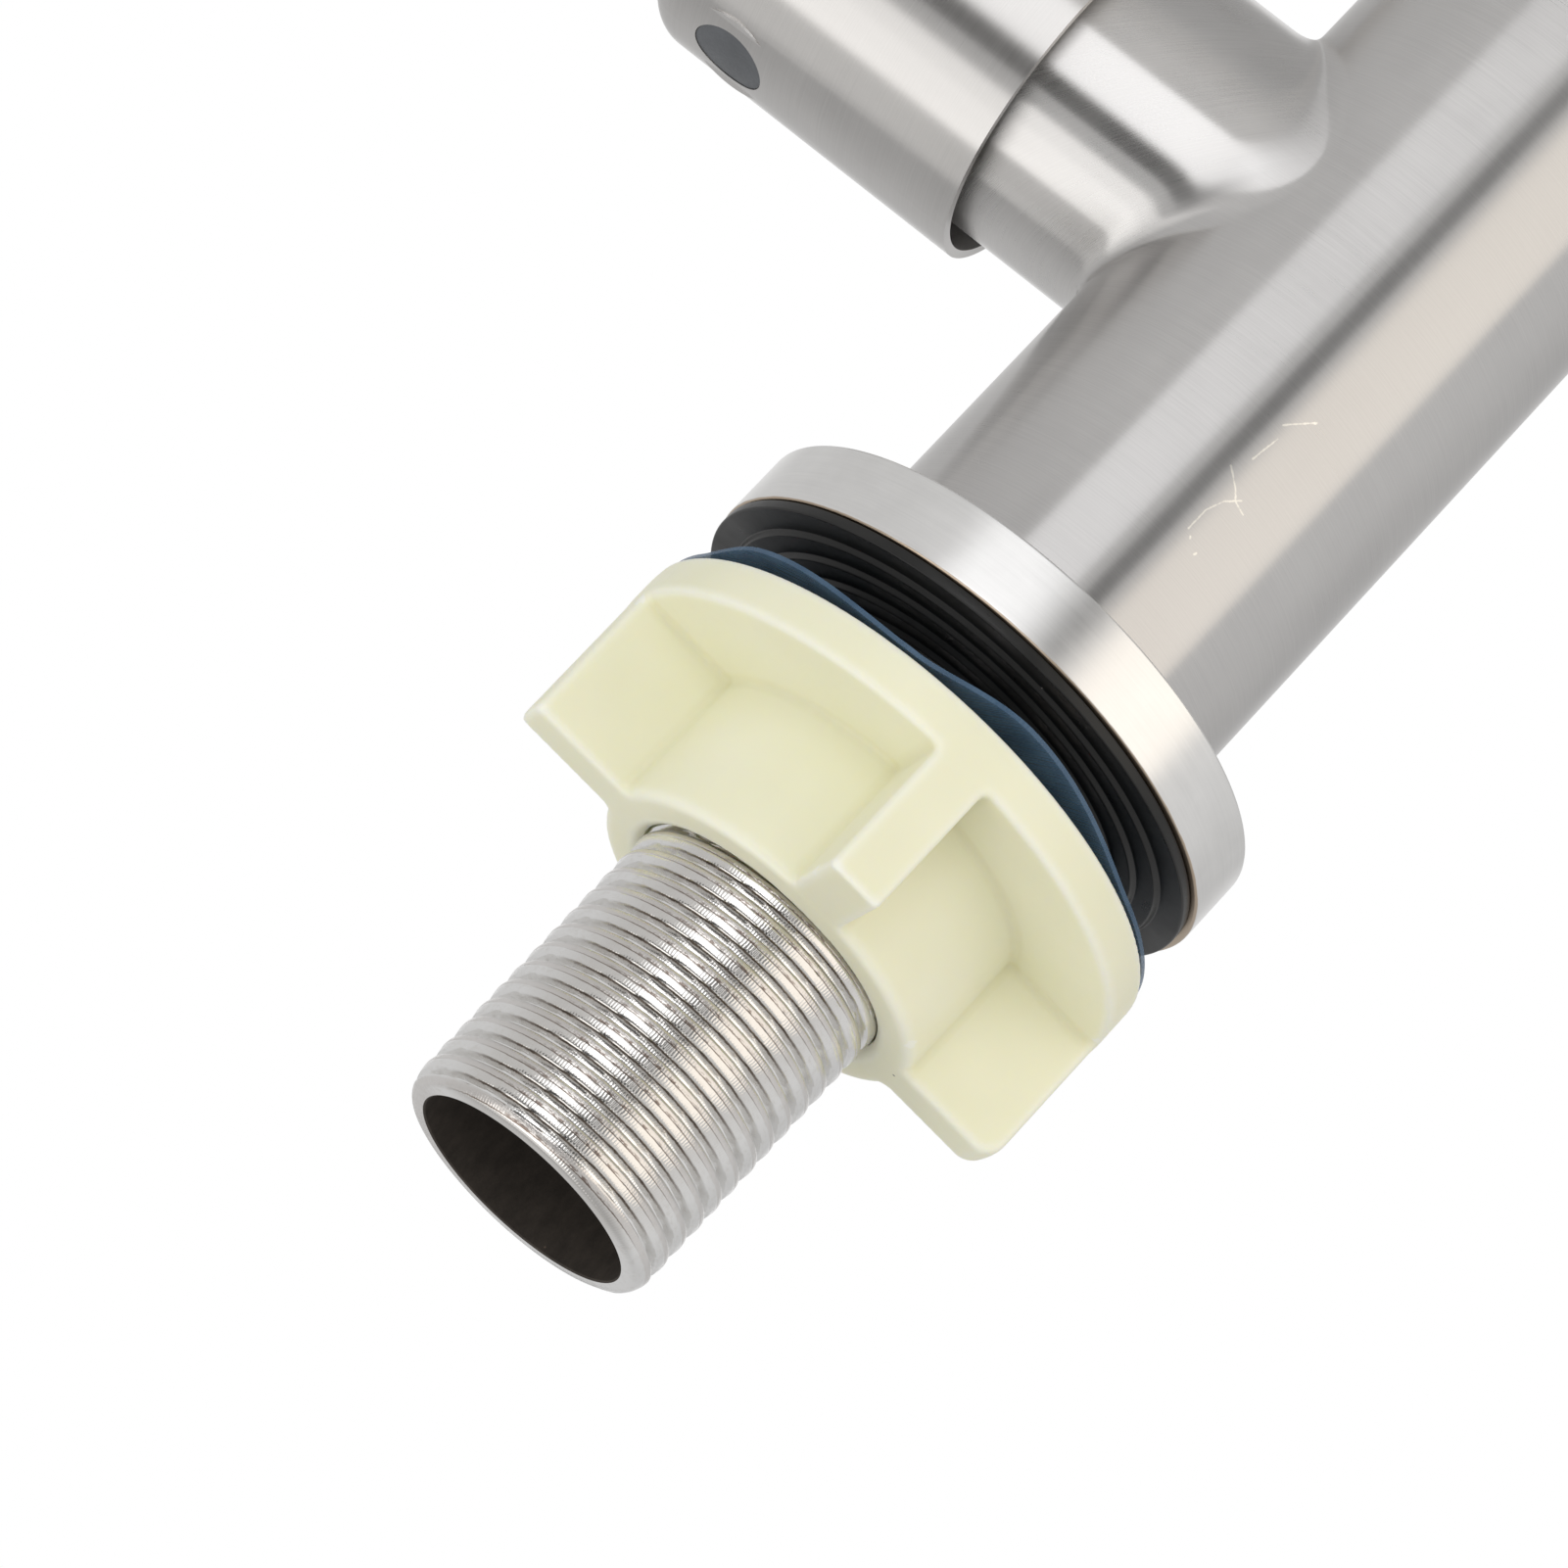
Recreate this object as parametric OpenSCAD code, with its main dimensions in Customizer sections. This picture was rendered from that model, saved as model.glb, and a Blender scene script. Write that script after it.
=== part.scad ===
// Single-lever deck tap for filtered water: a straight body with a side valve branch,
// a swivelling gooseneck spout, and a threaded shank with gasket, slip washer and wing nut.
// Millimetres, +Z up. The origin is the centre of the gasket's underside, on the deck plane.
// The valve branch points along +X and the spout along -Y.

/* [Deck fixing] */
// Major diameter of the shank's G 1/2 thread
thread_d = 20.955; // [19:0.005:22]
// Pitch of the shank's thread
thread_pitch = 1.814; // [1.5:0.001:2]
// Depth of the thread's grooves
thread_depth = 1.162; // [0.6:0.001:1.3]
// Bore of the shank
shank_bore_d = 17.4; // [14:0.1:17.8]
// Length of the shank below the deck plane
shank_drop = 43; // [38:1:60]
// Height of the shank's collar inside the body
shank_collar_h = 11.6; // [8:0.1:16]
// Diameter of the base ring
base_ring_d = 43; // [40:0.5:50]
// Height of the base ring
base_ring_h = 5.4; // [4:0.1:9]
// Distance that the rubber gasket stands in from the base ring's edge
gasket_inset = 0.3; // [0:0.1:1.5]
// Thickness of the rubber gasket
gasket_t = 2.4; // [1.8:0.1:4]
// Number of round grooves under the gasket
gasket_grooves = 3; // [1:1:3]
// Distance that the slip washer stands in from the nut's edge
slip_washer_inset = 0.4; // [0:0.1:2]
// Thickness of the slip washer
slip_washer_t = 0.5; // [0.3:0.1:1]
// Height that the slip washer's free edge stands up above its bore
slip_washer_dish = 1.3; // [0.1:0.1:2]

/* [Wing nut] */
// Diameter of the nut's disc and across its wings
nut_d = 44.2; // [40:0.1:50]
// Thickness of the nut's disc
nut_disc_t = 3.6; // [2.5:0.1:5]
// Height of the whole nut
nut_h = 14.9; // [12:0.1:20]
// Diameter of the nut's hub
nut_hub_d = 27.4; // [26:0.1:32]
// Number of wings
wing_count = 4; // [2:1:6]
// Thickness of a wing
wing_t = 4.4; // [3:0.1:6]
// Radius of a wing's outer lower corner
wing_corner_r = 1.8; // [0.5:0.1:3]
// Gap between the deck plane and the top of the nut's disc
nut_drop = 4; // [3:0.1:12]
// Angle of the first wing from +X
nut_angle = 18.3; // [0:0.1:90]

/* [Body] */
// Outer diameter of the body
body_d = 29.2; // [28.5:0.1:34]
// Wall of the body
body_wall = 2.4; // [2:0.1:2.6]
// Height of the body's top above the deck plane
body_top = 90; // [84:1:120]
// Height of the branch axis above the deck plane
branch_z = 46.5; // [44:0.5:52]
// Outer diameter of the branch
branch_d = 25.7; // [25:0.1:28]
// Distance from the body's axis to the branch's end face
branch_reach = 31; // [29:0.5:34]

/* [Valve] */
// Diameter of the waterway through the core
waterway_d = 10; // [7:0.5:11]
// Length of the core below the branch's axis
core_below = 19; // [17:0.5:24]
// Length of the core above the branch's axis
core_above = 16; // [14:0.5:20]
// Diameter of the ceramic discs
disc_d = 15; // [13:0.1:15.4]
// Thickness of one ceramic disc
disc_t = 2.6; // [2:0.1:3]
// Diameter of the valve stem
stem_d = 9; // [8:0.1:9.4]
// Number of teeth on the stem's spline
spline_teeth = 20; // [16:1:24]
// Width across the flats of the cartridge's hexagon
cartridge_flats = 23; // [21:0.5:23]

/* [Handle] */
// Outer diameter of the handle cap
cap_d = 29.7; // [29:0.1:34]
// Wall of the handle cap at its rim
cap_wall = 0.7; // [0.6:0.05:1]
// Distance from the body's axis to the cap's rim
cap_start = 25.3; // [23:0.1:28]
// Length of the handle cap
cap_len = 28.5; // [26:0.5:34]
// Radius of the cap's outer end
cap_round = 3; // [1:0.1:4]
// Distance from the body's axis to the lever and the clamping screw
lever_x = 45.6; // [44:0.1:47]
// Diameter of the lever
lever_d = 7; // [6:0.1:8]
// Length of the lever above the cap
lever_len = 48; // [30:1:70]
// Diameter of the plug over the clamping screw
plug_d = 6; // [5.5:0.1:6.5]
// Diameter of the clamping screw
screw_d = 5; // [4:0.5:5]

/* [Spout] */
// Outer diameter of the spout tube
spout_d = 20; // [18:0.1:20.4]
// Wall of the spout tube
spout_wall = 1.2; // [1:0.1:1.4]
// Radius of the gooseneck's bend
bend_r = 70; // [55:1:90]
// Height of the bend's centre above the deck plane
bend_z = 222; // [200:1:260]
// Straight length of tube between the bend and the aerator
outlet_drop = 32; // [24:1:60]
// Depth of the spout seat in the body
seat_depth = 18; // [16:0.5:20]
// Height of the spout seat above the body
seat_rise = 7; // [6:0.1:8]
// Diameter of the swivel spigot
spigot_d = 17; // [15:0.1:17]
// Height of the swivel collar
collar_h = 14.4; // [14:0.1:18]

/* [Aerator] */
// Outer diameter of the aerator housing
aerator_d = 23; // [22.6:0.1:25]
// Height of the aerator housing
aerator_h = 21; // [20.6:0.1:26]
// Bore of the housing's lower lip
outlet_bore_d = 17.2; // [15:0.1:17.4]
// Bars across the mesh each way
mesh_bars = 6; // [4:1:8]

/* [Fits] */
// Radial gap of a running fit
running_gap = 0.06; // [0.02:0.01:0.09]
// Gap between pieces that are pressed, screwed or brazed together
seat_gap = 0.05; // [0.02:0.01:0.1]
// Gap between moving faces
slide_gap = 0.1; // [0.05:0.01:0.15]
// Radial gap around seals and loose rings
ring_gap = 0.3; // [0.2:0.05:0.4]

/* [Hidden] */
$fn = 96;

// Cuts run this far past the face that they open
over = 1;
// Small edge break on turned metal
edge = 0.4;

thread_r = thread_d / 2;
body_r = body_d / 2;
body_bore_r = body_r - body_wall;
branch_bore_r = thread_r + running_gap;
cap_r = cap_d / 2;
cap_end = cap_start + cap_len;

// Deck fixing
// Depth of the step that carries the base ring on the body
ring_step = 1;
ring_top = gasket_t + base_ring_h;
// Flat land at the crest and the root of a thread groove
thread_land = 0.3;
thread_chamfer = 1.2;
// Distance from the gasket's edge to the middle of its outer groove
groove_margin = 2.4;
groove_step = 2.75;
groove_w = 1.4;
groove_depth = 0.5;
gasket_round = 0.7;
nut_top = -nut_drop;
nut_bottom = nut_top - nut_h;
nut_edge = 1.2;
nut_lead = 1;
washer_low = nut_top + slide_gap;

// Valve, measured outwards from the body's axis along the branch
seat_x = 8;
seal_t = 2;
fixed_x = seat_x + seal_t + seat_gap;
moving_x = fixed_x + disc_t + running_gap;
drive_x = moving_x + disc_t + running_gap;
drive_t = 1.8;
throat_x = drive_x + drive_t + slide_gap;
nose_r = disc_d / 2 + 1.3;
// Room for the water round the cartridge's nose
nose_room = 1.6;
disc_room = seat_gap + 0.1;
hex_t = 5;
gasket_ring_t = 0.8;
hex_x = branch_reach + gasket_ring_t;
neck_x = hex_x + hex_t;
stem_r = stem_d / 2;
plate_r = disc_d / 2 - 0.6;
clip_t = 0.8;
clip_x = neck_x + slide_gap;
spline_r = stem_r - 0.5;
spline_depth = 0.45;
spline_x = clip_x + clip_t + 0.4;
stem_margin = 4.5;
stem_end = cap_end - stem_margin;
stem_groove_d = 1.2;
stem_groove_w = 1.3;
clip_groove_d = 0.7;
stem_seal_step = 4;
stem_seal_x = [throat_x + stem_seal_step, throat_x + 2 * stem_seal_step];
core_r = body_bore_r - seat_gap;
core_low = branch_z - core_below;
core_high = branch_z + core_above;
core_groove_d = 1.6;
core_groove_w = 2;
core_seal_lead = 4;
core_seal_z = core_low + core_seal_lead;

// Handle
cap_bore_r = cap_r - cap_wall;
cap_floor = cap_end - 3;
boss_r = 8;
boss_x = spline_x + 0.6;
post_r = 4.6;
plug_r = plug_d / 2;
plug_len = 2.8;
plug_sink = 0.08;
screw_r = screw_d / 2;
screw_len = 6;
screw_low = cap_r - plug_len - 0.4;
key_flats = 2.5;
lever_r = lever_d / 2;
stub_r = 2.6;
stub_low = 9.2;
lever_sink = 1.6;

// Spout
spout_r = spout_d / 2;
spout_bore_r = spout_r - spout_wall;
spigot_r = spigot_d / 2;
spigot_bore_r = 6.4;
seat_low = body_top - seat_depth;
seat_high = body_top + seat_rise;
seat_thread_r = body_bore_r - 0.8;
slip_t = 1.2;
flange_low = seat_high + slip_t + 2 * slide_gap;
flange_t = 2.4;
flange_r = spout_r + 1;
tube_low = flange_low + flange_t + seat_gap;
collar_low = body_top + 0.2;
collar_high = collar_low + collar_h;
collar_r = body_r;
collar_lip_low = flange_low + flange_t + slip_t + 2 * slide_gap;
collar_chamfer = 1.4;
spigot_low = seat_low + 2;
spigot_groove_d = 1.6;
spigot_groove_w = 1.8;
spigot_seal_lead = 4;
spigot_seal_step = 5;
spigot_seal_z = [spigot_low + spigot_seal_lead, spigot_low + spigot_seal_lead + spigot_seal_step];
sleeve_len = 10;
outlet_y = -2 * bend_r;
outlet_z = bend_z - outlet_drop;

// Aerator, below the end of the tube
aerator_r = aerator_d / 2;
grip_len = 9;
aerator_low = outlet_z + grip_len - aerator_h;
aerator_bore_r = spout_r + seat_gap;
lip_t = 1;
mesh_t = 0.5;
washer_t = 1.5;
mesh_low = aerator_low + lip_t + seat_gap;
insert_low = mesh_low + mesh_t + seat_gap;
insert_high = outlet_z - washer_t - 2 * seat_gap;
insert_r = aerator_bore_r - 2 * seat_gap;
mesh_bar = 0.5;

steel = [0.74, 0.73, 0.71];
brass = [0.78, 0.62, 0.34];
ivory = [0.9, 0.89, 0.76];
black = [0.1, 0.1, 0.1];

// A cylinder that lies along +X from x0 to x1 on the branch's axis
module along_x(x0, x1, r) {
    translate([x0, 0, branch_z]) rotate([0, 90, 0]) cylinder(r = r, h = x1 - x0);
}

// A tube that stands on the Z axis
module tube(r_out, r_in, z0, z1) {
    difference() {
        translate([0, 0, z0]) cylinder(r = r_out, h = z1 - z0);
        translate([0, 0, z0 - over]) cylinder(r = r_in, h = z1 - z0 + 2 * over);
    }
}

// A tube that lies along the branch's axis
module tube_x(r_out, r_in, x0, x1) {
    difference() {
        along_x(x0, x1, r_out);
        along_x(x0 - over, x1 + over, r_in);
    }
}

// A round seal with its centre circle of radius r
module seal_ring(r, section_r) {
    rotate_extrude() translate([r, 0]) circle(r = section_r, $fn = 32);
}

// Points of one thread groove, from its lower crest edge to its upper one
function groove_points(z) = [
    [thread_r, z],
    [thread_r - thread_depth, z + (thread_pitch - 2 * thread_land) / 2],
    [thread_r - thread_depth, z + (thread_pitch - 2 * thread_land) / 2 + thread_land],
    [thread_r, z + thread_pitch - thread_land]
];
thread_low = -shank_drop + thread_chamfer;
groove_count = floor((shank_drop - thread_chamfer - thread_land) / thread_pitch);

// The tube with the side branch, bored for the shank, the core, the cartridge and the spout seat
module body_shell() {
    color(steel) difference() {
        union() {
            translate([0, 0, gasket_t])
                cylinder(r = body_r - ring_step, h = body_top - gasket_t);
            translate([0, 0, ring_top]) cylinder(r = body_r, h = body_top - ring_top);
            along_x(0, branch_reach, branch_d / 2);
        }
        translate([0, 0, gasket_t - over])
            cylinder(r = body_bore_r, h = body_top - gasket_t + 2 * over);
        along_x(0, branch_reach + over, branch_bore_r);
    }
}

// The turned ring that hides the deck hole and presses on the gasket
module base_ring() {
    bore_r = body_r - ring_step + seat_gap;
    color(steel) rotate_extrude() polygon([
        [bore_r, gasket_t],
        [base_ring_d / 2 - edge, gasket_t],
        [base_ring_d / 2, gasket_t + edge],
        [base_ring_d / 2, ring_top - edge],
        [base_ring_d / 2 - edge, ring_top],
        [body_r, ring_top],
        [body_r, ring_top - seat_gap],
        [bore_r, ring_top - seat_gap]
    ]);
}

// The threaded inlet tube, with a collar that is brazed into the body
module shank() {
    collar_r = body_bore_r - seat_gap;
    bore_r = shank_bore_d / 2;
    color(steel) rotate_extrude() polygon(concat(
        [[bore_r, -shank_drop], [thread_r - thread_chamfer, -shank_drop]],
        [for (i = [0 : groove_count - 1]) each groove_points(thread_low + i * thread_pitch)],
        [
            [thread_r, gasket_t],
            [collar_r, gasket_t],
            [collar_r, gasket_t + shank_collar_h],
            [bore_r, gasket_t + shank_collar_h]
        ]
    ));
}

// The rubber gasket, with round grooves under it
module base_gasket() {
    outer = base_ring_d / 2 - gasket_inset;
    color(black) difference() {
        rotate_extrude() union() {
            translate([thread_r + ring_gap, 0])
                square([outer - gasket_round - thread_r - ring_gap, gasket_t - seat_gap]);
            translate([outer - gasket_round - edge, gasket_round])
                square([gasket_round + edge, gasket_t - seat_gap - gasket_round]);
            translate([outer - gasket_round, gasket_round]) circle(r = gasket_round, $fn = 48);
        }
        for (i = [0 : gasket_grooves - 1])
            rotate_extrude() translate([outer - groove_margin - i * groove_step, 0]) polygon([
                [-groove_w / 2, -over],
                [groove_w / 2, -over],
                [groove_w / 2, 0],
                [groove_w / 4, groove_depth],
                [-groove_w / 4, groove_depth],
                [-groove_w / 2, 0]
            ]);
    }
}

// The thin dished washer that lets the nut turn without dragging the gasket
module slip_washer() {
    bore_r = thread_r + ring_gap;
    outer_r = nut_d / 2 - slip_washer_inset;
    color([0.36, 0.45, 0.55]) rotate_extrude() polygon([
        [bore_r, washer_low],
        [outer_r, washer_low + slip_washer_dish],
        [outer_r, washer_low + slip_washer_dish + slip_washer_t],
        [bore_r, washer_low + slip_washer_t]
    ]);
}

// Side view of one wing, from inside the hub to the disc's edge
module wing_side() {
    root_r = thread_r + 2;
    difference() {
        translate([root_r, nut_bottom]) square([nut_d / 2 - root_r, nut_h - nut_disc_t / 2]);
        difference() {
            translate([nut_d / 2 - wing_corner_r, nut_bottom - over])
                square([wing_corner_r + over, wing_corner_r + over]);
            translate([nut_d / 2 - wing_corner_r, nut_bottom + wing_corner_r])
                circle(r = wing_corner_r, $fn = 48);
        }
    }
}

// The plastic nut: a disc, a hub and its wings, on a bore that runs over the thread's crests
module wing_nut() {
    bore_r = thread_r + running_gap;
    color(ivory) rotate([0, 0, nut_angle]) difference() {
        union() {
            translate([0, 0, nut_top - nut_disc_t]) cylinder(r = nut_d / 2, h = nut_disc_t);
            translate([0, 0, nut_bottom + nut_edge])
                cylinder(r = nut_hub_d / 2, h = nut_h - nut_edge - nut_disc_t / 2);
            translate([0, 0, nut_bottom])
                cylinder(r1 = nut_hub_d / 2 - nut_edge, r2 = nut_hub_d / 2, h = nut_edge);
            intersection() {
                translate([0, 0, nut_bottom]) cylinder(r = nut_d / 2, h = nut_h - nut_disc_t / 2);
                for (i = [0 : wing_count - 1])
                    rotate([90, 0, i * 360 / wing_count])
                        translate([0, 0, -wing_t / 2]) linear_extrude(wing_t) wing_side();
            }
        }
        translate([0, 0, nut_bottom - over]) cylinder(r = bore_r, h = nut_h + 2 * over);
        translate([0, 0, nut_bottom - seat_gap])
            cylinder(r1 = bore_r + nut_lead, r2 = bore_r, h = nut_lead);
        translate([0, 0, nut_top + seat_gap - nut_lead])
            cylinder(r1 = bore_r, r2 = bore_r + nut_lead, h = nut_lead);
    }
}

// The divider inside the body: water rises through it, turns into the valve and leaves above
module waterway_core() {
    way_r = waterway_d / 2;
    color(brass) difference() {
        translate([0, 0, core_low]) cylinder(r = core_r, h = core_high - core_low);
        translate([0, 0, core_low - over]) cylinder(r = way_r, h = branch_z - core_low + over);
        translate([0, 0, branch_z]) sphere(r = way_r);
        along_x(0, seat_x + over, way_r);
        along_x(seat_x, body_r, nose_r + nose_room);
        translate([seat_x + seal_t, -way_r, branch_z])
            cube([body_r, 2 * way_r, core_high - branch_z + over]);
        tube(core_r + over, core_r - core_groove_d,
            core_seal_z - core_groove_w / 2, core_seal_z + core_groove_w / 2);
    }
}

// The seal between the core and the body's bore
module core_seal() {
    color(black) translate([0, 0, core_seal_z])
        seal_ring(core_r - core_groove_d / 2, core_groove_d / 2 - seat_gap);
}

// The rubber ring that presses on the core's seat
module seat_seal() {
    inset = 0.4;
    color(black)
        tube_x(disc_d / 2 - inset, waterway_d / 2 - inset, seat_x + seat_gap, seat_x + seal_t);
}

// A pair of windows through a ceramic disc, each a little under a quarter turn wide
module disc_windows(x0, x1) {
    inner = 1.8;
    outer = disc_d / 2 - 2;
    span = 84;
    for (side = [0, 180])
        translate([x0 - over, 0, branch_z]) rotate([side, 0, 0]) rotate([0, 90, 0])
            rotate([0, 0, -span / 2]) rotate_extrude(angle = span)
                translate([inner, 0]) square([outer - inner, x1 - x0 + 2 * over]);
}

// The ceramic disc that stands still
module fixed_disc() {
    color("white") difference() {
        along_x(fixed_x, fixed_x + disc_t, disc_d / 2);
        disc_windows(fixed_x, fixed_x + disc_t);
    }
}

// The ceramic disc that turns with the stem; its windows are a quarter turn off when shut
module moving_disc() {
    color("white") difference() {
        along_x(moving_x, moving_x + disc_t, disc_d / 2 - slide_gap);
        translate([0, 0, branch_z]) rotate([90, 0, 0]) translate([0, 0, -branch_z])
            disc_windows(moving_x, moving_x + disc_t);
    }
}

// The screwed-in housing of the valve, with side windows for the water
module cartridge_body() {
    window_x = moving_x + 0.3;
    window_len = throat_x - window_x - 0.6;
    window_w = 6;
    color(brass) difference() {
        union() {
            along_x(seat_x + seal_t, branch_reach, nose_r);
            along_x(throat_x, branch_reach, thread_r - seat_gap);
            translate([hex_x, 0, branch_z]) rotate([0, 90, 0])
                cylinder(d = cartridge_flats / cos(30), h = hex_t, $fn = 6);
            along_x(branch_reach - over, hex_x, nose_r);
        }
        along_x(seat_x, throat_x, disc_d / 2 + disc_room);
        along_x(seat_x, neck_x + over, stem_r + running_gap);
        for (side = [0, 90])
            translate([window_x, 0, branch_z]) rotate([side, 0, 0])
                translate([0, -window_w / 2, -nose_r - over])
                    cube([window_len, window_w, 2 * (nose_r + over)]);
    }
}

// The thin gasket between the cartridge's hexagon and the branch's end
module cartridge_gasket() {
    color(black) tube_x(thread_r + 1.2, nose_r + ring_gap,
        branch_reach + seat_gap, hex_x - seat_gap);
}

// Outline of the stem's spline, tooth by tooth
spline_points = [
    for (i = [0 : 2 * spline_teeth - 1])
        let (r = i % 2 == 0 ? spline_r : spline_r - spline_depth, a = i * 180 / spline_teeth)
            [r * cos(a), r * sin(a)]
];

// The stem: a drive plate, two seal grooves, a clip groove and a splined end
module cartridge_stem() {
    color(brass) difference() {
        union() {
            along_x(drive_x, drive_x + drive_t, plate_r);
            along_x(drive_x, spline_x, stem_r);
            translate([spline_x, 0, branch_z]) rotate([0, 90, 0])
                linear_extrude(stem_end - spline_x) polygon(spline_points);
        }
        for (x = stem_seal_x)
            tube_x(stem_r + over, stem_r - stem_groove_d, x - stem_groove_w / 2, x + stem_groove_w / 2);
        tube_x(stem_r + over, stem_r - clip_groove_d, clip_x, clip_x + clip_t);
    }
}

// The two seals on the stem
module stem_seals() {
    color(black) for (x = stem_seal_x)
        translate([x, 0, branch_z]) rotate([0, 90, 0])
            seal_ring(stem_r - stem_groove_d / 2, stem_groove_d / 2 - seat_gap);
}

// The open spring clip that holds the stem in the cartridge
module stem_clip() {
    bore_r = stem_r - clip_groove_d + seat_gap;
    outer_r = stem_r + 1.6;
    mouth = 3.2;
    side_gap = 0.02;
    color(steel) difference() {
        tube_x(outer_r, bore_r, clip_x + side_gap, clip_x + clip_t - side_gap);
        translate([clip_x - over, -mouth / 2, branch_z])
            cube([clip_t + 2 * over, mouth, outer_r + over]);
    }
}

// The cup over the branch's end, with a splined boss and posts for the lever and the screw
module handle_cap() {
    color(steel) difference() {
        union() {
            difference() {
                translate([cap_start, 0, branch_z]) rotate([0, 90, 0]) rotate_extrude() union() {
                    square([cap_r, cap_len - cap_round]);
                    square([cap_r - cap_round, cap_len]);
                    translate([cap_r - cap_round, cap_len - cap_round])
                        circle(r = cap_round, $fn = 64);
                }
                along_x(cap_start - over, cap_floor, cap_bore_r);
            }
            along_x(boss_x, cap_floor + over, boss_r);
            translate([lever_x, 0, branch_z + boss_r / 2])
                cylinder(r = post_r, h = cap_bore_r - boss_r / 2 + cap_wall / 4);
            translate([lever_x, 0, branch_z - cap_bore_r - cap_wall / 4])
                cylinder(r = post_r, h = cap_bore_r - boss_r / 2 + cap_wall / 4);
        }
        along_x(boss_x - over, stem_end + 0.5, spline_r + seat_gap);
        translate([lever_x, 0, branch_z - cap_r - over])
            cylinder(r = screw_r + seat_gap, h = cap_r + over);
        translate([lever_x, 0, branch_z - cap_r - over])
            cylinder(r = plug_r + seat_gap, h = plug_len + over);
        translate([lever_x, 0, branch_z + stub_low - seat_gap])
            cylinder(r = stub_r + seat_gap, h = cap_r);
        translate([lever_x, 0, branch_z + cap_r - lever_sink])
            cylinder(r = lever_r + seat_gap, h = lever_sink + over);
    }
}

// The round bar that the hand turns
module handle_lever() {
    base = branch_z + cap_r - lever_sink + seat_gap;
    tip = branch_z + cap_r + lever_len;
    color(steel) translate([lever_x, 0, 0]) union() {
        translate([0, 0, branch_z + stub_low])
            cylinder(r = stub_r, h = base - branch_z - stub_low + over);
        translate([0, 0, base]) cylinder(r = lever_r, h = tip - lever_r - base);
        translate([0, 0, tip - lever_r]) sphere(r = lever_r);
    }
}

// The grub screw that clamps the handle to the stem
module clamp_screw() {
    key_depth = 2.5;
    color([0.3, 0.3, 0.32]) translate([lever_x, 0, branch_z - screw_low]) difference() {
        cylinder(r = screw_r, h = screw_len);
        translate([0, 0, -over]) cylinder(d = key_flats / cos(30), h = over + key_depth, $fn = 6);
    }
}

// The plastic plug that hides the grub screw, flush with the cap
module screw_plug() {
    color([0.5, 0.52, 0.54]) intersection() {
        translate([lever_x, 0, branch_z - cap_r - over])
            cylinder(r = plug_r, h = plug_len + over - seat_gap);
        along_x(lever_x - plug_d, lever_x + plug_d, cap_r - plug_sink);
    }
}

// The threaded bush in the body's top that the spout turns in
module spout_seat() {
    color(brass) difference() {
        union() {
            translate([0, 0, seat_low]) cylinder(r = core_r, h = body_top - seat_low);
            translate([0, 0, seat_low]) cylinder(r = seat_thread_r, h = seat_high - seat_low);
        }
        translate([0, 0, seat_low - over])
            cylinder(r = spigot_r + running_gap, h = seat_high - seat_low + 2 * over);
    }
}

// A plastic slip ring under the spigot's flange
module lower_slip_ring() {
    color("white") tube(flange_r, spigot_r + ring_gap,
        seat_high + slide_gap / 2, seat_high + slide_gap / 2 + slip_t);
}

// A plastic slip ring over the spigot's flange
module upper_slip_ring() {
    low = flange_low + flange_t + slide_gap;
    color("white") tube(flange_r, spout_r + ring_gap, low, low + slip_t);
}

// The screwed collar that holds the spout down
module swivel_collar() {
    color(steel) difference() {
        union() {
            translate([0, 0, collar_low])
                cylinder(r = collar_r, h = collar_h - collar_chamfer);
            translate([0, 0, collar_high - collar_chamfer])
                cylinder(r1 = collar_r, r2 = collar_r - collar_chamfer, h = collar_chamfer);
        }
        translate([0, 0, collar_low - over])
            cylinder(r = seat_thread_r + seat_gap, h = collar_lip_low - collar_low + over);
        translate([0, 0, collar_low]) cylinder(r = spout_r + ring_gap, h = collar_h + over);
    }
}

// The turned foot of the spout, with its flange, seal grooves and bore
module spout_spigot() {
    color(brass) difference() {
        union() {
            translate([0, 0, spigot_low]) cylinder(r = spigot_r, h = flange_low - spigot_low + over);
            translate([0, 0, flange_low]) cylinder(r = flange_r, h = flange_t);
            translate([0, 0, flange_low])
                cylinder(r = spout_bore_r - seat_gap, h = flange_t + sleeve_len);
        }
        translate([0, 0, spigot_low - over])
            cylinder(r = spigot_bore_r, h = tube_low + sleeve_len - spigot_low + 2 * over);
        for (z = spigot_seal_z)
            tube(spigot_r + over, spigot_r - spigot_groove_d,
                z - spigot_groove_w / 2, z + spigot_groove_w / 2);
    }
}

// The two seals on the spigot
module spigot_seals() {
    color(black) for (z = spigot_seal_z)
        translate([0, 0, z])
            seal_ring(spigot_r - spigot_groove_d / 2, spigot_groove_d / 2 - seat_gap);
}

// The gooseneck tube
module spout_tube() {
    color(steel) union() {
        tube(spout_r, spout_bore_r, tube_low, bend_z);
        translate([0, -bend_r, bend_z]) rotate([0, 0, 90]) rotate([90, 0, 0])
            rotate_extrude(angle = 180) translate([bend_r, 0]) difference() {
                circle(r = spout_r);
                circle(r = spout_bore_r);
            }
        translate([0, outlet_y, 0]) tube(spout_r, spout_bore_r, outlet_z, bend_z);
    }
}

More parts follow.
